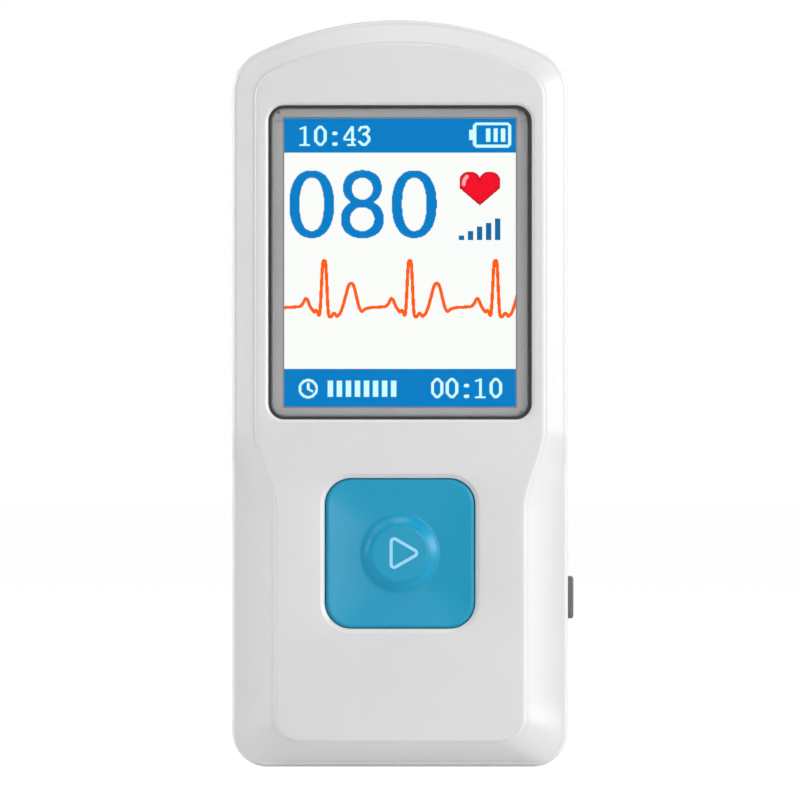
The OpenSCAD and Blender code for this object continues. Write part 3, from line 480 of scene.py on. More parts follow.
def clear_window(name, see_through, rough):
    """Thin clear plastic: mostly open to what is behind it, with a polished surface and faint smears."""
    made, nodes, links, shader = node_material(name)
    place = nodes.new("ShaderNodeTexCoord")
    smear = nodes.new("ShaderNodeTexNoise")
    smear.inputs["Scale"].default_value = 1 / (6 * mm)
    matt = nodes.new("ShaderNodeMapRange")
    matt.inputs["To Min"].default_value = rough
    matt.inputs["To Max"].default_value = rough + 0.04
    links.new(place.outputs["Object"], smear.inputs["Vector"])
    links.new(smear.outputs["Fac"], matt.inputs["Value"])
    links.new(matt.outputs["Result"], shader.inputs["Roughness"])
    shader.inputs["Base Color"].default_value = (0.02, 0.022, 0.025, 1)
    shader.inputs["Alpha"].default_value = 1 - see_through
    return made


finish(clear_window("polished_lens", 0.96, 0.03), "display_lens")


def border_print_and_shade(name, colour, line, shade_w):
    """Grey print with painted shade along its inner edge: within the given width of the picture it turns to a
    dark colour that stands in for the shadow at the seam with the picture; the distance from the picture is
    the larger one of |x| - w/2 and |z - middle| - h/2."""
    made = moulded(name, colour, 0.35, cloud=0.03, gloss=0.2)
    nodes, links, shader = made.node_tree.nodes, made.node_tree.links, made.node_tree.nodes["Principled BSDF"]
    place = nodes.new("ShaderNodeTexCoord")
    split = nodes.new("ShaderNodeSeparateXYZ")
    links.new(place.outputs["Object"], split.inputs["Vector"])
    beyond = nodes.new("ShaderNodeMath")
    beyond.operation = "MAXIMUM"
    for i, (axis, middle, half) in enumerate((("X", 0, picture_w / 2), ("Z", display_z, picture_h / 2))):
        centred, size, past = [nodes.new("ShaderNodeMath") for _ in range(3)]
        centred.operation, size.operation, past.operation = "SUBTRACT", "ABSOLUTE", "SUBTRACT"
        centred.inputs[1].default_value, past.inputs[1].default_value = middle, half
        links.new(split.outputs[axis], centred.inputs[0])
        links.new(centred.outputs["Value"], size.inputs[0])
        links.new(size.outputs["Value"], past.inputs[0])
        links.new(past.outputs["Value"], beyond.inputs[i])
    # Painted shade: near the picture the colour turns to the dark line colour, standing in for the shadow at
    # the seam.
    share = nodes.new("ShaderNodeMapRange")
    share.inputs["From Min"].default_value, share.inputs["From Max"].default_value = shade_w * 0.7, shade_w
    edge = nodes.new("ShaderNodeMixRGB")
    edge.inputs["Color1"].default_value = (*line, 1)
    links.new(beyond.outputs["Value"], share.inputs["Value"])
    links.new(share.outputs["Result"], edge.inputs["Fac"])
    links.new(shader.inputs["Base Color"].links[0].from_socket, edge.inputs["Color2"])
    links.new(edge.outputs["Color"], shader.inputs["Base Color"])
    return made


# Painted shade: the darker colour along the border's inner edge stands in for the shadow at the seam between
# border and picture; the grey is the print's own.
border_grey, border_edge_shade = (0.45, 0.45, 0.455), (0.25, 0.25, 0.26)
finish(border_print_and_shade("grey_border_print_and_shade", border_grey, border_edge_shade, 0.2 * mm), "lens_border")
finish(moulded("black_gasket_rubber", (0.04, 0.04, 0.041), 0.7, gloss=0.2), "lens_gasket")
finish(moulded("black_foam", (0.03, 0.03, 0.032), 0.9, grain=0.3 * mm, grain_depth=0.1 * mm),
       "lens_adhesive", "display_foam")

# ---- Colour display ----
# A lit panel of 128 by 160 dots behind the lens: blue bars at head and foot, large figures, a heart, and
# the running trace. Each colour is a layer of lit dots, a fiftieth of a millimetre thick, over a white one.
columns, rows = 128, 160
dot_w, dot_h = picture_w / columns, picture_h / rows
picture_left, picture_top = -picture_w / 2, display_z + picture_h / 2
glass_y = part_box("display_glass")[0].y
layer_t = 0.02 * mm


def lit(name, colour, strength=1.1):
    """Light from a display dot: its colour, every second dot a touch darker, on a black ground."""
    made, nodes, links, shader = node_material(name)
    place = nodes.new("ShaderNodeTexCoord")
    dots = nodes.new("ShaderNodeMapping")
    dots.inputs["Scale"].default_value = (1 / dot_w, 1, 1 / dot_h)
    dots.inputs["Location"].default_value = (0.5, 0, 0.5)
    cell = nodes.new("ShaderNodeTexChecker")
    cell.inputs["Scale"].default_value = 1
    cell.inputs["Color1"].default_value = [c * 0.985 for c in colour] + [1]
    cell.inputs["Color2"].default_value = list(colour) + [1]
    links.new(place.outputs["Object"], dots.inputs["Vector"])
    links.new(dots.outputs["Vector"], cell.inputs["Vector"])
    links.new(cell.outputs["Color"], shader.inputs["Emission Color"])
    shader.inputs["Base Color"].default_value = (0.001, 0.001, 0.001, 1)
    shader.inputs["Specular IOR Level"].default_value = 0
    shader.inputs["Emission Strength"].default_value = strength
    return made


def srgb(r, g, b):
    """A colour given as it shows, in 0 to 255, in Blender's linear values."""
    c = np.array([r, g, b]) / 255
    return tuple(np.where(c <= 0.04045, c / 12.92, ((c + 0.055) / 1.055) ** 2.4))


def dot_grid(left, top, right, bottom, fine=1):
    """Middles of the dots between these columns and rows; fine 2 halves the dots."""
    x = left + (np.arange(int(round((right - left) * fine))) + 0.5) / fine
    z = top + (np.arange(int(round((bottom - top) * fine))) + 0.5) / fine
    return np.meshgrid(x, z)


def dot_layer(name, grid, shown, material, layer, fine=1):
    """The shown dots as one flat closed piece: a square before and behind each dot, and a wall wherever a
    dot's neighbour is dark."""
    x, z = grid
    on = np.pad(shown, 1)
    r, c = np.nonzero(on)
    width = on.shape[1] + 1
    sheet = width * (on.shape[0] + 1)

    def corner(dr, dc, back):
        return (r + dr) * width + c + dc + back * sheet

    quads = [np.stack([corner(1, 0, 0), corner(1, 1, 0), corner(0, 1, 0), corner(0, 0, 0)], 1),
             np.stack([corner(0, 0, 1), corner(0, 1, 1), corner(1, 1, 1), corner(1, 0, 1)], 1)]
    for dr, dc, a, b in ((-1, 0, (0, 0), (0, 1)), (1, 0, (1, 1), (1, 0)), (0, -1, (1, 0), (0, 0)),
                         (0, 1, (0, 1), (1, 1))):
        dark = ~on[r + dr, c + dc]
        quads.append(np.stack([corner(*a, 0), corner(*b, 0), corner(*b, 1), corner(*a, 1)], 1)[dark])
    quads = np.concatenate(quads)
    used, quads = np.unique(quads, return_inverse=True)
    quads = quads.reshape(-1, 4)
    back, rest = np.divmod(used, sheet)
    row, column = np.divmod(rest, width)
    px = picture_left + (x[0, 0] - 0.5 / fine + (column - 1) / fine) * dot_w
    pz = picture_top - (z[0, 0] - 0.5 / fine + (row - 1) / fine) * dot_h
    py = glass_y - layer * layer_t + (back - 1) * layer_t
    made = bpy.data.meshes.new(name)
    made.from_pydata(np.stack([px, py, pz], 1).tolist(), [], quads.tolist())
    made.materials.append(material)
    piece = bpy.data.objects.new(name, made)
    bpy.context.scene.collection.objects.link(piece)
    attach(piece, housing)
    return piece


def near(grid, *strokes):
    """Dots within half a stroke's width of its line. A stroke is a width and the points that it joins."""
    x, z = grid
    shown = np.zeros(x.shape, bool)
    for width, *points in strokes:
        for (ax, az), (bx, bz) in zip(points, points[1:]):
            dx, dz = bx - ax, bz - az
            t = np.clip(((x - ax) * dx + (z - az) * dz) / (dx ** 2 + dz ** 2), 0, 1)
            shown |= np.hypot(x - ax - t * dx, z - az - t * dz) < width / 2
    return shown


def oval(grid, cx, cz, a, b, square=2):
    """Dots inside an ellipse; square above 2 gives it fuller corners."""
    x, z = grid
    return np.abs((x - cx) / a) ** square + np.abs((z - cz) / b) ** square < 1


figure_blue = lit("display_blue", srgb(1, 125, 199))
white_light = lit("display_white", srgb(249, 251, 248))
pale_light = lit("display_pale", srgb(208, 254, 255))
heart_red = lit("display_red", srgb(242, 9, 39))
heart_dark = lit("display_dark_red", srgb(190, 0, 30))
heart_pale = lit("display_pink", srgb(252, 170, 175))
trace_orange = lit("display_orange", srgb(255, 92, 8))
unit_blue = lit("display_mid_blue", srgb(22, 105, 160))

page = dot_grid(0, 0, columns, rows)
head_bar, foot_bar = 19, 139
dot_layer("display_ground", page, np.ones(page[0].shape, bool), white_light, 1)
dot_layer("display_bars", page, (page[1] < head_bar) | (page[1] > foot_bar), figure_blue, 2)

# The rate, as two tall rings with an eight between them
digits = dot_grid(1, 27, 88, 69, 2)
shown = np.zeros(digits[0].shape, bool)
for cx in (15.2, 71.9):
    shown |= oval(digits, cx, 47.6, 12.4, 18.8, 2.3) & ~oval(digits, cx, 47.7, 6.7, 14.7, 2.3)
shown |= ((oval(digits, 43.2, 38.3, 10.7, 9.6, 2.2) | oval(digits, 43.2, 55.9, 11.9, 10.6, 2.2))
          & ~oval(digits, 43.2, 39.0, 5.8, 6.0) & ~oval(digits, 43.1, 55.9, 6.7, 6.6))
dot_layer("display_rate", digits, shown, figure_blue, 2, 2)

# A heart: two full lobes over straight flanks that run to the tip; with a dark rim and a glint
heart = dot_grid(95, 28, 122, 51, 3)
mid_x, tip_z, lobe_x, lobe_z, lobe_r = 108.15, 48.3, 5.5, 35.4, 5.8
flank_across, flank_down = 0.65, 0.76


def heart_shape(inset):
    """Dots inside the heart, drawn in by inset: in a lobe, or below its middle and above a flank."""
    across = np.abs(heart[0] - mid_x)
    r = lobe_r - inset
    lobes = oval((across, heart[1]), lobe_x, lobe_z, r, r, 2.4)
    flank = across * flank_across + (heart[1] - tip_z) * flank_down + inset < 0
    return (lobes | (heart[1] > lobe_z) & (across < lobe_x + r)) & (flank | (heart[1] < lobe_z))


full, core = heart_shape(0), heart_shape(0.8)
glint = near(heart, (1.9, (99.2, 36.6), (99.5, 34.2), (101.0, 32.3))) & core
dot_layer("display_heart", heart, core & ~glint, heart_red, 2, 3)
dot_layer("display_heart_rim", heart, full & ~core, heart_dark, 2, 3)
dot_layer("display_heart_glint", heart, glint, heart_pale, 2, 3)

# Where the rate's unit stands, a small chart of bars
chart = dot_grid(95, 54, 122, 69, 2)
chart_left, chart_foot, first_top, bar_rise = 96.5, 67.5, 65, 2.4
bar_pitch, bar_dots, bar_count = 5, 3, 5
step = (chart[0] - chart_left) // bar_pitch
shown = ((chart[0] - chart_left) % bar_pitch < bar_dots) & (step >= 0) & (step < bar_count)
shown &= (chart[1] < chart_foot) & (chart[1] > first_top - bar_rise * step)
dot_layer("display_chart", chart, shown, unit_blue, 2, 2)

# The trace: one beat's points about its peak, repeated, joined and then smoothed a little
beat_cols, first_beat = 47.35, 22.1
beat = np.array([(-18, 104.8), (-13.4, 104.4), (-11.9, 103), (-10.4, 99.9), (-9.4, 100.2), (-7.8, 104.4),
                 (-5.6, 107.6), (-4.4, 106.2), (-2.7, 109.8), (-2.2, 107), (-0.9, 80), (-0.6, 79), (0.6, 79),
                 (0.9, 80), (2.1, 107), (2.6, 110), (3.8, 110.2), (5.3, 107.9), (7.2, 110.1), (9, 107.9),
                 (10.4, 104), (13.2, 93.4), (14.2, 91.5), (15.6, 91.5), (16.6, 93.6), (19.2, 104.6),
                 (20.6, 107.3), (23, 105.6), (26, 104.9)])
points = np.concatenate([beat + [first_beat + n * beat_cols, 0] for n in range(-1, 4)])
line = np.arange(-2, columns + 2, 0.1)
height = np.convolve(np.interp(line, points[:, 0], points[:, 1]), np.ones(7) / 7, "same")
trace = dot_grid(0, 70, columns, 118, 3)
inside = (line > -1) & (line < columns + 1)
stroke = list(zip(line[inside], height[inside]))
dot_layer("display_trace", trace, near(trace, (1.85, *stroke)), trace_orange, 2, 3)

# Plain figures of the clock and the timer, each as strokes up from its foot line on quarter dots
stem, thin, pitch = 1.55, 1.0, 8.1
strokes_of = {
    "0": ((1.75, (1.5, 3.3), (1.5, 8.4)), (1.75, (6.7, 3.3), (6.7, 8.4)),
          (1.4, (1.6, 8.6), (3.4, 10.7), (4.8, 10.7), (6.6, 8.6)),
          (1.4, (1.6, 3.1), (3.4, 1.0), (4.8, 1.0), (6.6, 3.1))),
    "1": ((stem, (3.75, 1), (3.75, 10.6)), (thin, (1.2, 9.8), (3, 10.3)), (thin, (1.1, 0.7), (6.1, 0.7))),
    "3": ((1.45, (1.4, 8.9), (2.3, 10.6), (5.6, 10.7), (6.7, 9.3), (5.6, 7.5), (3.7, 6.7)),
          (stem, (5.2, 6.6), (6.7, 4.8), (6.7, 3.3), (4.9, 1.1), (3.2, 1.0), (1.4, 2.6))),
    "4": ((stem, (5.65, 1), (5.65, 10.6)), (1.3, (5.2, 10.6), (1.4, 4.9), (1.3, 3.9)),
          (thin, (1.3, 3.8), (7.1, 3.8)), (thin, (3.2, 0.7), (7.1, 0.7))),
    ":": ((2.0, (3.6, 7.2), (4.6, 7.2)), (2.0, (3.6, 1.35), (4.6, 1.35))),
}


def figures(name, text, left, foot_row):
    """Figures side by side, a pitch apart, from a left column, standing on a foot line."""
    grid = dot_grid(left - 1, foot_row - 13, left + pitch * len(text) + 1, foot_row + 1, 4)
    shown = np.zeros(grid[0].shape, bool)
    for i, figure in enumerate(text):
        shown |= near(grid, *[(w, *[(left + pitch * i + x, foot_row - z) for x, z in points])
                              for w, *points in strokes_of[figure]])
    dot_layer(name, grid, shown, pale_light, 3, 4)


figures("display_clock", "10:43", 7.75, 15.5)
figures("display_timer", "00:10", 80.5, 155.5)


def cut_corner_box(grid, cx, cz, half_w, half_h, cut):
    """Dots inside a box whose corners are cut off at 45 degrees."""
    x, z = np.abs(grid[0] - cx), np.abs(grid[1] - cz)
    return (x < half_w) & (z < half_h) & (x + z < half_w + half_h - cut)


# Charge left: an outline with a nub and three bars
charge = dot_grid(101, 1, 127, 18, 4)
shown = cut_corner_box(charge, 114.9, 9.25, 10.7, 7.1, 1.8)
shown &= ~cut_corner_box(charge, 115, 9.15, 8.85, 5.3, 0.2)
shown |= cut_corner_box(charge, 104, 9.15, 1.7, 2.9, 0.2)
for bar_x in (112.8, 116.9, 121):
    shown |= cut_corner_box(charge, bar_x, 9.25, 1.2, 3.8, 0.4)
dot_layer("display_charge", charge, shown, pale_light, 3, 4)

# At the foot's left, a small dial and a row of marks that shows how far a recording has run
progress = dot_grid(8, 143, 66, 158, 2)
x, z = progress
shown = oval(progress, 13.3, 150, 5.4, 5.4) & ~oval(progress, 13.3, 150, 4.0, 4.0)
shown |= near(progress, (1.2, (13.3, 147.2), (13.3, 150.2), (15.5, 151.4)))
mark = (x - 24) % 5
shown |= (x > 24) & (x < 64) & (mark < 3.2) & (np.abs(z - 150) < 4.6)
dot_layer("display_progress", progress, shown, pale_light, 3, 2)

finish(moulded("display_polariser", (0.5, 0.52, 0.53), 0.2), "display_glass")
finish(moulded("clear_guide_plastic", (0.75, 0.8, 0.82), 0.15), "light_guide")
finish(moulded("white_tray_plastic", (0.8, 0.8, 0.79), 0.45), "backlight_tray")

# ---- Start key ----
# A light-blue cap moulded in one with its boss, satin, with a shallow dish round the boss. A flange behind
# the panel keeps it in, and the outline triangle is inlaid in paler plastic.
key_lo, key_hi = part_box("start_key")
key_w, key_r, key_edge = 19.9 * mm, 3.4 * mm, 0.4 * mm
key_face_y = panel_y + 0.2 * mm
dish = 0.35 * mm
boss_top_y = key_lo.y + 0.03 * mm
boss_r, boss_top_r = 5.3 * mm, 3.7 * mm
flange_y, flange_t, flange_w = -5.95 * mm, 0.8 * mm, 0.8 * mm
key_post_r, key_post_bore = 2.2 * mm, 0.6 * mm


def key_ring(inset, y):
    """The cap's outline, drawn in by inset, with points along its straight sides too."""
    p = rounded(0, key_z, key_w - 2 * inset, key_w - 2 * inset, key_r - inset, 12).reshape(4, -1, 2)
    share = np.linspace(0, 1, 26)[1:-1, None]
    sides = [p[i, -1] * (1 - share) + p[(i + 1) % 4, 0] * share for i in range(4)]
    return flat(np.concatenate([q for i in range(4) for q in (p[i], sides[i])]), y)


def cap_face(steps):
    """Rings from the cap's edge to its middle. A ring is the outline shrunk to share s and rounded to a
    circle by the boss; the face sinks by dish (1 - s^2), and the boss rises out of it on an eased slope."""
    edge = key_ring(key_edge, 0) - [0, 0, key_z]
    radius = np.hypot(edge[:, 0], edge[:, 2])
    way = edge / radius[:, None]
    round_r, round_share = 0.6 * boss_top_r, 0.3
    rings = []
    for t in np.linspace(1, 0.02, steps):
        if t > round_share:
            r = round_r + (radius - round_r) * (t - round_share) / (1 - round_share)
        else:
            r = np.full(len(radius), round_r * t / round_share)
        s = r / radius
        y = key_face_y + dish * (1 - s ** 2)
        y = boss_top_y + (y - boss_top_y) * ease(r, boss_top_r, boss_r)
        rings.append(way * r[:, None] + np.stack([0 * y, y, 0 * y + key_z], 1))
    return rings


cap = Skin()
flange = [key_ring(-flange_w, y) for y in (flange_y + flange_t, flange_y)]
edge = [key_ring(key_edge * (1 - cos(a)), key_face_y + key_edge * (1 - sin(a)))
        for a in np.linspace(0, pi / 2, 9)[:-1]]
cap.closed([*flange, key_ring(0, flange_y), *edge, *cap_face(72)])
post(cap, 0, key_z, key_post_r, key_post_bore, flange_y + flange_t / 2, key_hi.y)
start_cap = cap.mesh("start_cap", 35)
key_blue = moulded("light_blue_key_plastic", srgb(1, 150, 189), 0.3, cloud=0.01, gloss=0.3)
start_cap.data.materials.append(key_blue)
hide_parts("start_key")
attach(start_cap, "start_button")

symbol_h, symbol_line, symbol_r = 4.25 * mm, 0.44 * mm, 0.63 * mm
symbol_x, symbol_z = 0.08 * mm, key_z + 0.05 * mm


def triangle_ring(r, y, n=12):
    """The triangle's outline with corners of radius r: three arcs of 120 degrees about the same points."""
    reach = (symbol_h - 2 * symbol_r) / sqrt(3)
    corners = [(symbol_x + reach * cos(a), symbol_z + reach * sin(a)) for a in np.radians((0, 120, 240))]
    return flat(np.concatenate([arc(x, z, r, a - 60, a + 60, n)
                                for (x, z), a in zip(corners, (0, 120, 240))]), y)


symbol = Skin()
symbol_back_y, symbol_front_y, soft = key_lo.y + 0.1 * mm, key_lo.y + 0.01 * mm, 0.03 * mm
outside = symbol.tube([triangle_ring(symbol_r, symbol_back_y), triangle_ring(symbol_r, symbol_front_y + soft),
                       triangle_ring(symbol_r - soft, symbol_front_y)])
inside = symbol.tube([triangle_ring(symbol_r - symbol_line, symbol_back_y),
                      triangle_ring(symbol_r - symbol_line, symbol_front_y + soft),
                      triangle_ring(symbol_r - symbol_line + soft, symbol_front_y)])
symbol.wall(outside[0], inside[0])
symbol.wall(outside[1], inside[1])
start_triangle = symbol.mesh("start_triangle", 35)
start_triangle.data.materials.append(moulded("pale_blue_inlay", srgb(150, 216, 245), 0.4))
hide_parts("start_symbol")
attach(start_triangle, "start_button")

# ---- Side key ----
# A small grey bar in the right side wall, moulded in soft plastic, with rounded edges. A flange inside the
# wall keeps it in its slot, and it presses the side switch.
side_lo, side_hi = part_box("side_key")
bar_w, bar_l, bar_r, bar_edge = 3.2 * mm, 5.7 * mm, 0.85 * mm, 0.35 * mm
bar_flange_w, bar_flange_t = 0.7 * mm, 0.65 * mm


def bar_ring(inset, x):
    """Rounded outline of the bar in depth and height, drawn in by inset, at x."""
    p = rounded(parting_y, side_key_z, bar_w - 2 * inset, bar_l - 2 * inset, max(bar_r - inset, 0.1 * mm), 10)
    return np.stack([np.full(len(p), x), p[:, 0], p[:, 1]], 1)


bar = Skin()
flange_end = side_lo.x + bar_flange_t
rings = [bar_ring(-bar_flange_w, side_lo.x), bar_ring(-bar_flange_w, flange_end), bar_ring(0, flange_end)]
rings += [bar_ring(bar_edge * (1 - cos(a)), side_hi.x - bar_edge * (1 - sin(a)))
          for a in np.linspace(0, pi / 2, 8)]
bar.closed(rings)
side_bar = bar.mesh("side_bar", 35)
side_bar.data.materials.append(moulded("grey_key_plastic", (0.12, 0.12, 0.124), 0.55, gloss=0.3))
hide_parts("side_key")
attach(side_bar, "side_button")

# ---- Electrodes ----
# Three plates pressed from stainless sheet, brushed up and down and turned down a little at the edge, each
# with a stud through the rear cover. A bronze leaf on the board presses on every stud.


def brushed(name, colour, rough, squeeze=(1, 1, 30)):
    """Brushed metal: long fine scratches in tone, bump and roughness, from noise squeezed so many times
    along X, Y and Z."""
    made, nodes, links, shader = node_material(name)
    place = nodes.new("ShaderNodeTexCoord")
    narrow = nodes.new("ShaderNodeMapping")
    narrow.inputs["Scale"].default_value = squeeze
    scratch = nodes.new("ShaderNodeTexNoise")
    scratch.inputs["Scale"].default_value = 1 / (1.2 * mm)
    scratch.inputs["Detail"].default_value = 4
    links.new(place.outputs["Object"], narrow.inputs["Vector"])
    links.new(narrow.outputs["Vector"], scratch.inputs["Vector"])
    tone(made, scratch.outputs["Fac"], 0.35, 0.65, [c * 0.82 for c in colour], colour)
    relief(made, scratch.outputs["Fac"], rough - 0.08, rough + 0.1, 0.12, 0.01 * mm)
    shader.inputs["Metallic"].default_value = 1
    return made


plate_steel = brushed("brushed_electrode_steel", (0.56, 0.56, 0.57), 0.3, (30, 1, 1))
turn_down = 0.3 * mm
stud_r, stud_bore = 1.2 * mm, 0.3 * mm
plate_top_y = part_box("electrode_upper")[1].y
for node, (x, z, w, h) in plates.items():
    plate = Skin()
    rings = [flat(rounded(x, z, w, h, plate_r, 14), bed_y + 0.02 * mm)]
    for a in np.linspace(0, pi / 2, 8):
        o = turn_down * (1 - cos(a))
        rings.append(flat(rounded(x, z, w - 2 * o, h - 2 * o, plate_r - o, 14),
                          plate_top_y - turn_down * (1 - sin(a)) * 0.8))
    rings.append(flat(rounded(x, z, w - 3 * turn_down, h - 3 * turn_down, plate_r - 1.5 * turn_down, 14),
                      plate_top_y))
    plate.closed(rings)
    post(plate, x, z, stud_r, stud_bore, bed_y + 0.1 * mm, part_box(node)[0].y)
    piece = plate.mesh(node + "_plate", 35)
    piece.data.materials.append(plate_steel)
    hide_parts(node)
    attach(piece, housing)
finish(brushed("bronze_leaf", (0.6, 0.42, 0.18), 0.35, (30, 1, 1)),
       "spring_upper", "spring_left", "spring_right")

# ---- Screws and charging socket ----
# Four steel screws hold the covers together and four smaller ones the board. The socket's shell is folded
# from plated sheet round a black tongue, and looks out of the left side wall.
finish(brushed("plated_screw_steel", (0.5, 0.5, 0.52), 0.32, (1, 30, 1)), "cover_screws", "board_screws")
finish(brushed("plated_socket_steel", (0.42, 0.42, 0.43), 0.35, (30, 1, 1)), "usb_shell")
finish(moulded("black_socket_plastic", (0.015, 0.015, 0.016), 0.5), "usb_tongue")

# ---- Main board and what is soldered to it ----
# A green board with copper under its mask, black moulded chips with bent leads, small ceramic parts, and
# the two switches under the keys, each with its own plunger.


def masked_board(name):
    """Solder mask over copper: broad tracks show paler through the green, and the weave gives a fine bump."""
    made, nodes, links, shader = node_material(name)
    place = nodes.new("ShaderNodeTexCoord")
    tracks = nodes.new("ShaderNodeTexBrick")
    tracks.inputs["Scale"].default_value = 1 / (4 * mm)
    tracks.inputs["Mortar Size"].default_value = 0.06
    tracks.inputs["Color1"].default_value = (0.008, 0.09, 0.035, 1)
    tracks.inputs["Color2"].default_value = (0.01, 0.1, 0.04, 1)
    tracks.inputs["Mortar"].default_value = (0.03, 0.2, 0.08, 1)
    turn = nodes.new("ShaderNodeMapping")
    turn.inputs["Rotation"].default_value = (radians(90), 0, 0)
    weave = nodes.new("ShaderNodeTexNoise")
    weave.inputs["Scale"].default_value = 1 / (0.5 * mm)
    bump = nodes.new("ShaderNodeBump")
    bump.inputs["Strength"].default_value = 0.2
    bump.inputs["Distance"].default_value = 0.01 * mm
    links.new(place.outputs["Object"], turn.inputs["Vector"])
    links.new(turn.outputs["Vector"], tracks.inputs["Vector"])
    links.new(tracks.outputs["Color"], shader.inputs["Base Color"])
    links.new(place.outputs["Object"], weave.inputs["Vector"])
    links.new(weave.outputs["Fac"], bump.inputs["Height"])
    links.new(bump.outputs["Normal"], shader.inputs["Normal"])
    shader.inputs["Roughness"].default_value = 0.3
    return made


finish(masked_board("green_board"), "main_board")
finish(moulded("black_chip_resin", (0.02, 0.02, 0.022), 0.6), "processor", "ecg_amplifier", "memory_chip",
       "charger_chip", "display_driver", "start_switch", "side_switch")
finish(moulded("sandy_ceramic", (0.35, 0.26, 0.16), 0.6, cloud=0.1), "chip_passives")
finish(brushed("crystal_can", (0.6, 0.6, 0.6), 0.3), "clock_crystal")
finish(moulded("ivory_plastic", (0.78, 0.75, 0.66), 0.45), "start_plunger", "side_plunger", "battery_plug",
       "battery_header")
finish(moulded("amber_film", (0.5, 0.22, 0.03), 0.3, cloud=0.06), "display_ribbon", "battery_circuit")

# ---- Battery ----
# A flat cell in crinkled foil, held by a foam pad against the rear cover, with two sleeved leads to its plug.
foil = moulded("cell_foil", (0.55, 0.56, 0.58), 0.35, grain=1.5 * mm, grain_depth=0.1 * mm)
foil.node_tree.nodes["Principled BSDF"].inputs["Metallic"].default_value = 1
finish(foil, "battery_cell")
finish(moulded("grey_pad_foam", (0.08, 0.08, 0.085), 0.9, grain=0.4 * mm, grain_depth=0.1 * mm),
       "battery_pad")
finish(moulded("red_lead_sleeve", (0.42, 0.02, 0.02), 0.4), "battery_leads")

# ---- Floor, light and camera ----
# A white floor in a white room: camera, gloss and glass see both as white, and the floor keeps the shadow.
# Soft lamps stand all round and above, and the camera looks straight at the front from afar.
floor_half = 3.0
lamp_distance = 0.9


def seen_directly(nodes, links):
    """1 for the camera's rays and for those that gloss or glass sends on, 0 for the light on rough things."""
    path = nodes.new("ShaderNodeLightPath")
    gloss, glass = nodes.new("ShaderNodeMath"), nodes.new("ShaderNodeMath")
    gloss.operation = glass.operation = "MAXIMUM"
    links.new(path.outputs["Is Camera Ray"], gloss.inputs[0])
    links.new(path.outputs["Is Glossy Ray"], gloss.inputs[1])
    links.new(gloss.outputs["Value"], glass.inputs[0])
    links.new(path.outputs["Is Transmission Ray"], glass.inputs[1])
    return glass.outputs["Value"]


floor_mesh = bpy.data.meshes.new("floor")
floor_mesh.from_pydata([(-floor_half, -floor_half, 0), (floor_half, -floor_half, 0),
                        (floor_half, floor_half, 0), (-floor_half, floor_half, 0)], [], [(0, 1, 2, 3)])
floor = bpy.data.objects.new("floor", floor_mesh)
bpy.context.scene.collection.objects.link(floor)
floor_white, nodes, links, shader = node_material("white_floor")
shader.inputs["Base Color"].default_value = (0.8, 0.8, 0.8, 1)
shader.inputs["Roughness"].default_value = 0.9
seen = nodes.new("ShaderNodeBsdfPrincipled")
seen.inputs["Base Color"].default_value = (0.07, 0.07, 0.07, 1)
seen.inputs["Roughness"].default_value = 1
seen.inputs["Specular IOR Level"].default_value = 0
seen.inputs["Emission Color"].default_value = (1, 1, 1, 1)
seen.inputs["Emission Strength"].default_value = 0.985
either = nodes.new("ShaderNodeMixShader")
links.new(seen_directly(nodes, links), either.inputs["Fac"])
links.new(shader.outputs["BSDF"], either.inputs[1])
links.new(seen.outputs["BSDF"], either.inputs[2])
links.new(either.outputs["Shader"], nodes["Material Output"].inputs["Surface"])
floor_mesh.materials.append(floor_white)

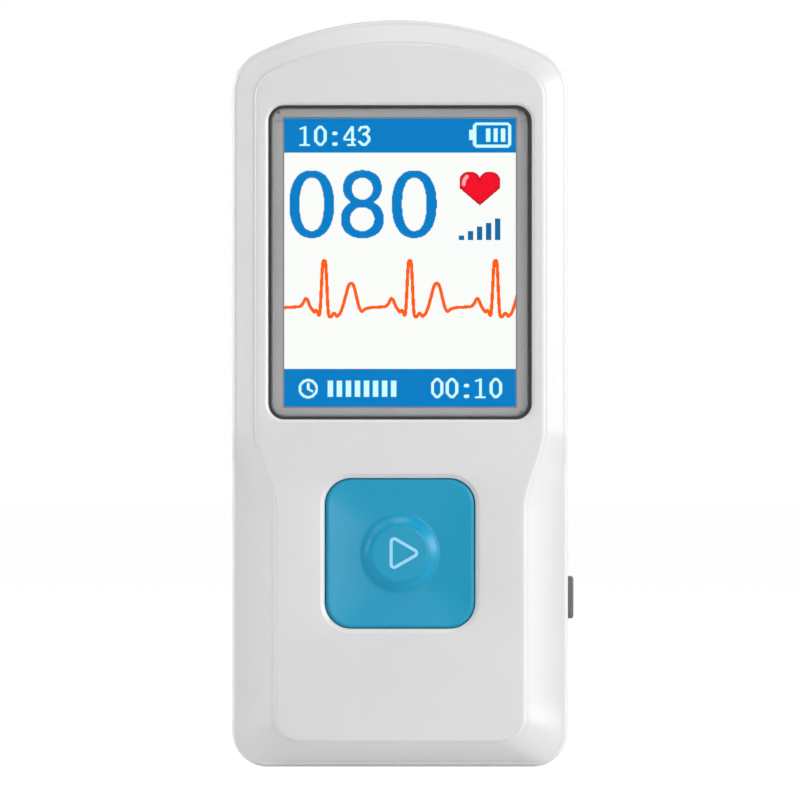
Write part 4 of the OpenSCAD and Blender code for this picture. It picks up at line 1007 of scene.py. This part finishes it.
world = bpy.data.worlds.new("white_room")
bpy.context.scene.world = world
world.use_nodes = True
nodes, links = world.node_tree.nodes, world.node_tree.links
room = nodes["Background"]
room.inputs["Color"].default_value = (1, 1, 1, 1)
room.inputs["Strength"].default_value = 0.02
behind = nodes.new("ShaderNodeBackground")
behind.inputs["Color"].default_value = (1, 1, 1, 1)
behind.inputs["Strength"].default_value = 1
either = nodes.new("ShaderNodeMixShader")
links.new(seen_directly(nodes, links), either.inputs["Fac"])
links.new(room.outputs["Background"], either.inputs[1])
links.new(behind.outputs["Background"], either.inputs[2])
links.new(either.outputs["Shader"], nodes["World Output"].inputs["Surface"])


def soft_lamp(name, turn, rise, size, power):
    """A square area lamp that faces the monitor's middle: turn degrees from the view's axis to the right,
    rise degrees up; the camera doesn't see it."""
    data = bpy.data.lights.new(name, "AREA")
    data.shape = "SQUARE"
    data.size = size
    data.energy = power
    lamp = bpy.data.objects.new(name, data)
    bpy.context.scene.collection.objects.link(lamp)
    a, e = radians(turn), radians(rise)
    way = Vector((sin(a) * cos(e), -cos(a) * cos(e), sin(e)))
    lamp.location = Vector((0, 0, head_z / 2)) + way * lamp_distance
    lamp.rotation_mode = "QUATERNION"
    lamp.rotation_quaternion = (-way).to_track_quat("-Z", "Y")
    lamp.visible_camera = False


soft_lamp("lamp_right_side", 90, 12, 0.4, 1.5)
soft_lamp("lamp_right", 75, 12, 0.35, 2.5)
soft_lamp("lamp_right_front", 55, 12, 0.35, 2.5)
soft_lamp("lamp_front", 13, 3, 0.1, 1.5)
soft_lamp("lamp_left_side", -90, 12, 0.4, 4.4)
soft_lamp("lamp_left_behind", -125, 12, 0.4, 1.2)
soft_lamp("lamp_left_above", -60, 45, 0.35, 0.9)
soft_lamp("lamp_above", 0, 85, 0.4, 1.6)
soft_lamp("lamp_above_front", 0, 68, 0.4, 1.3)
soft_lamp("lamp_behind", 160, 35, 0.5, 2)

camera_distance = 1.2
view_w = 106.9 * mm
eye_z = 49.1 * mm
sensor_w = 36
camera_data = bpy.data.cameras.new("camera")
camera_data.sensor_width = sensor_w
camera_data.lens = sensor_w * (camera_distance + panel_y) / view_w
camera_data.clip_start, camera_data.clip_end = 0.05, 20
camera = bpy.data.objects.new("camera", camera_data)
bpy.context.scene.collection.objects.link(camera)
camera.location = (0, -camera_distance, eye_z)
camera.rotation_euler = (radians(90), 0, 0)
bpy.context.scene.camera = camera
bpy.context.scene.view_settings.view_transform = "Standard"
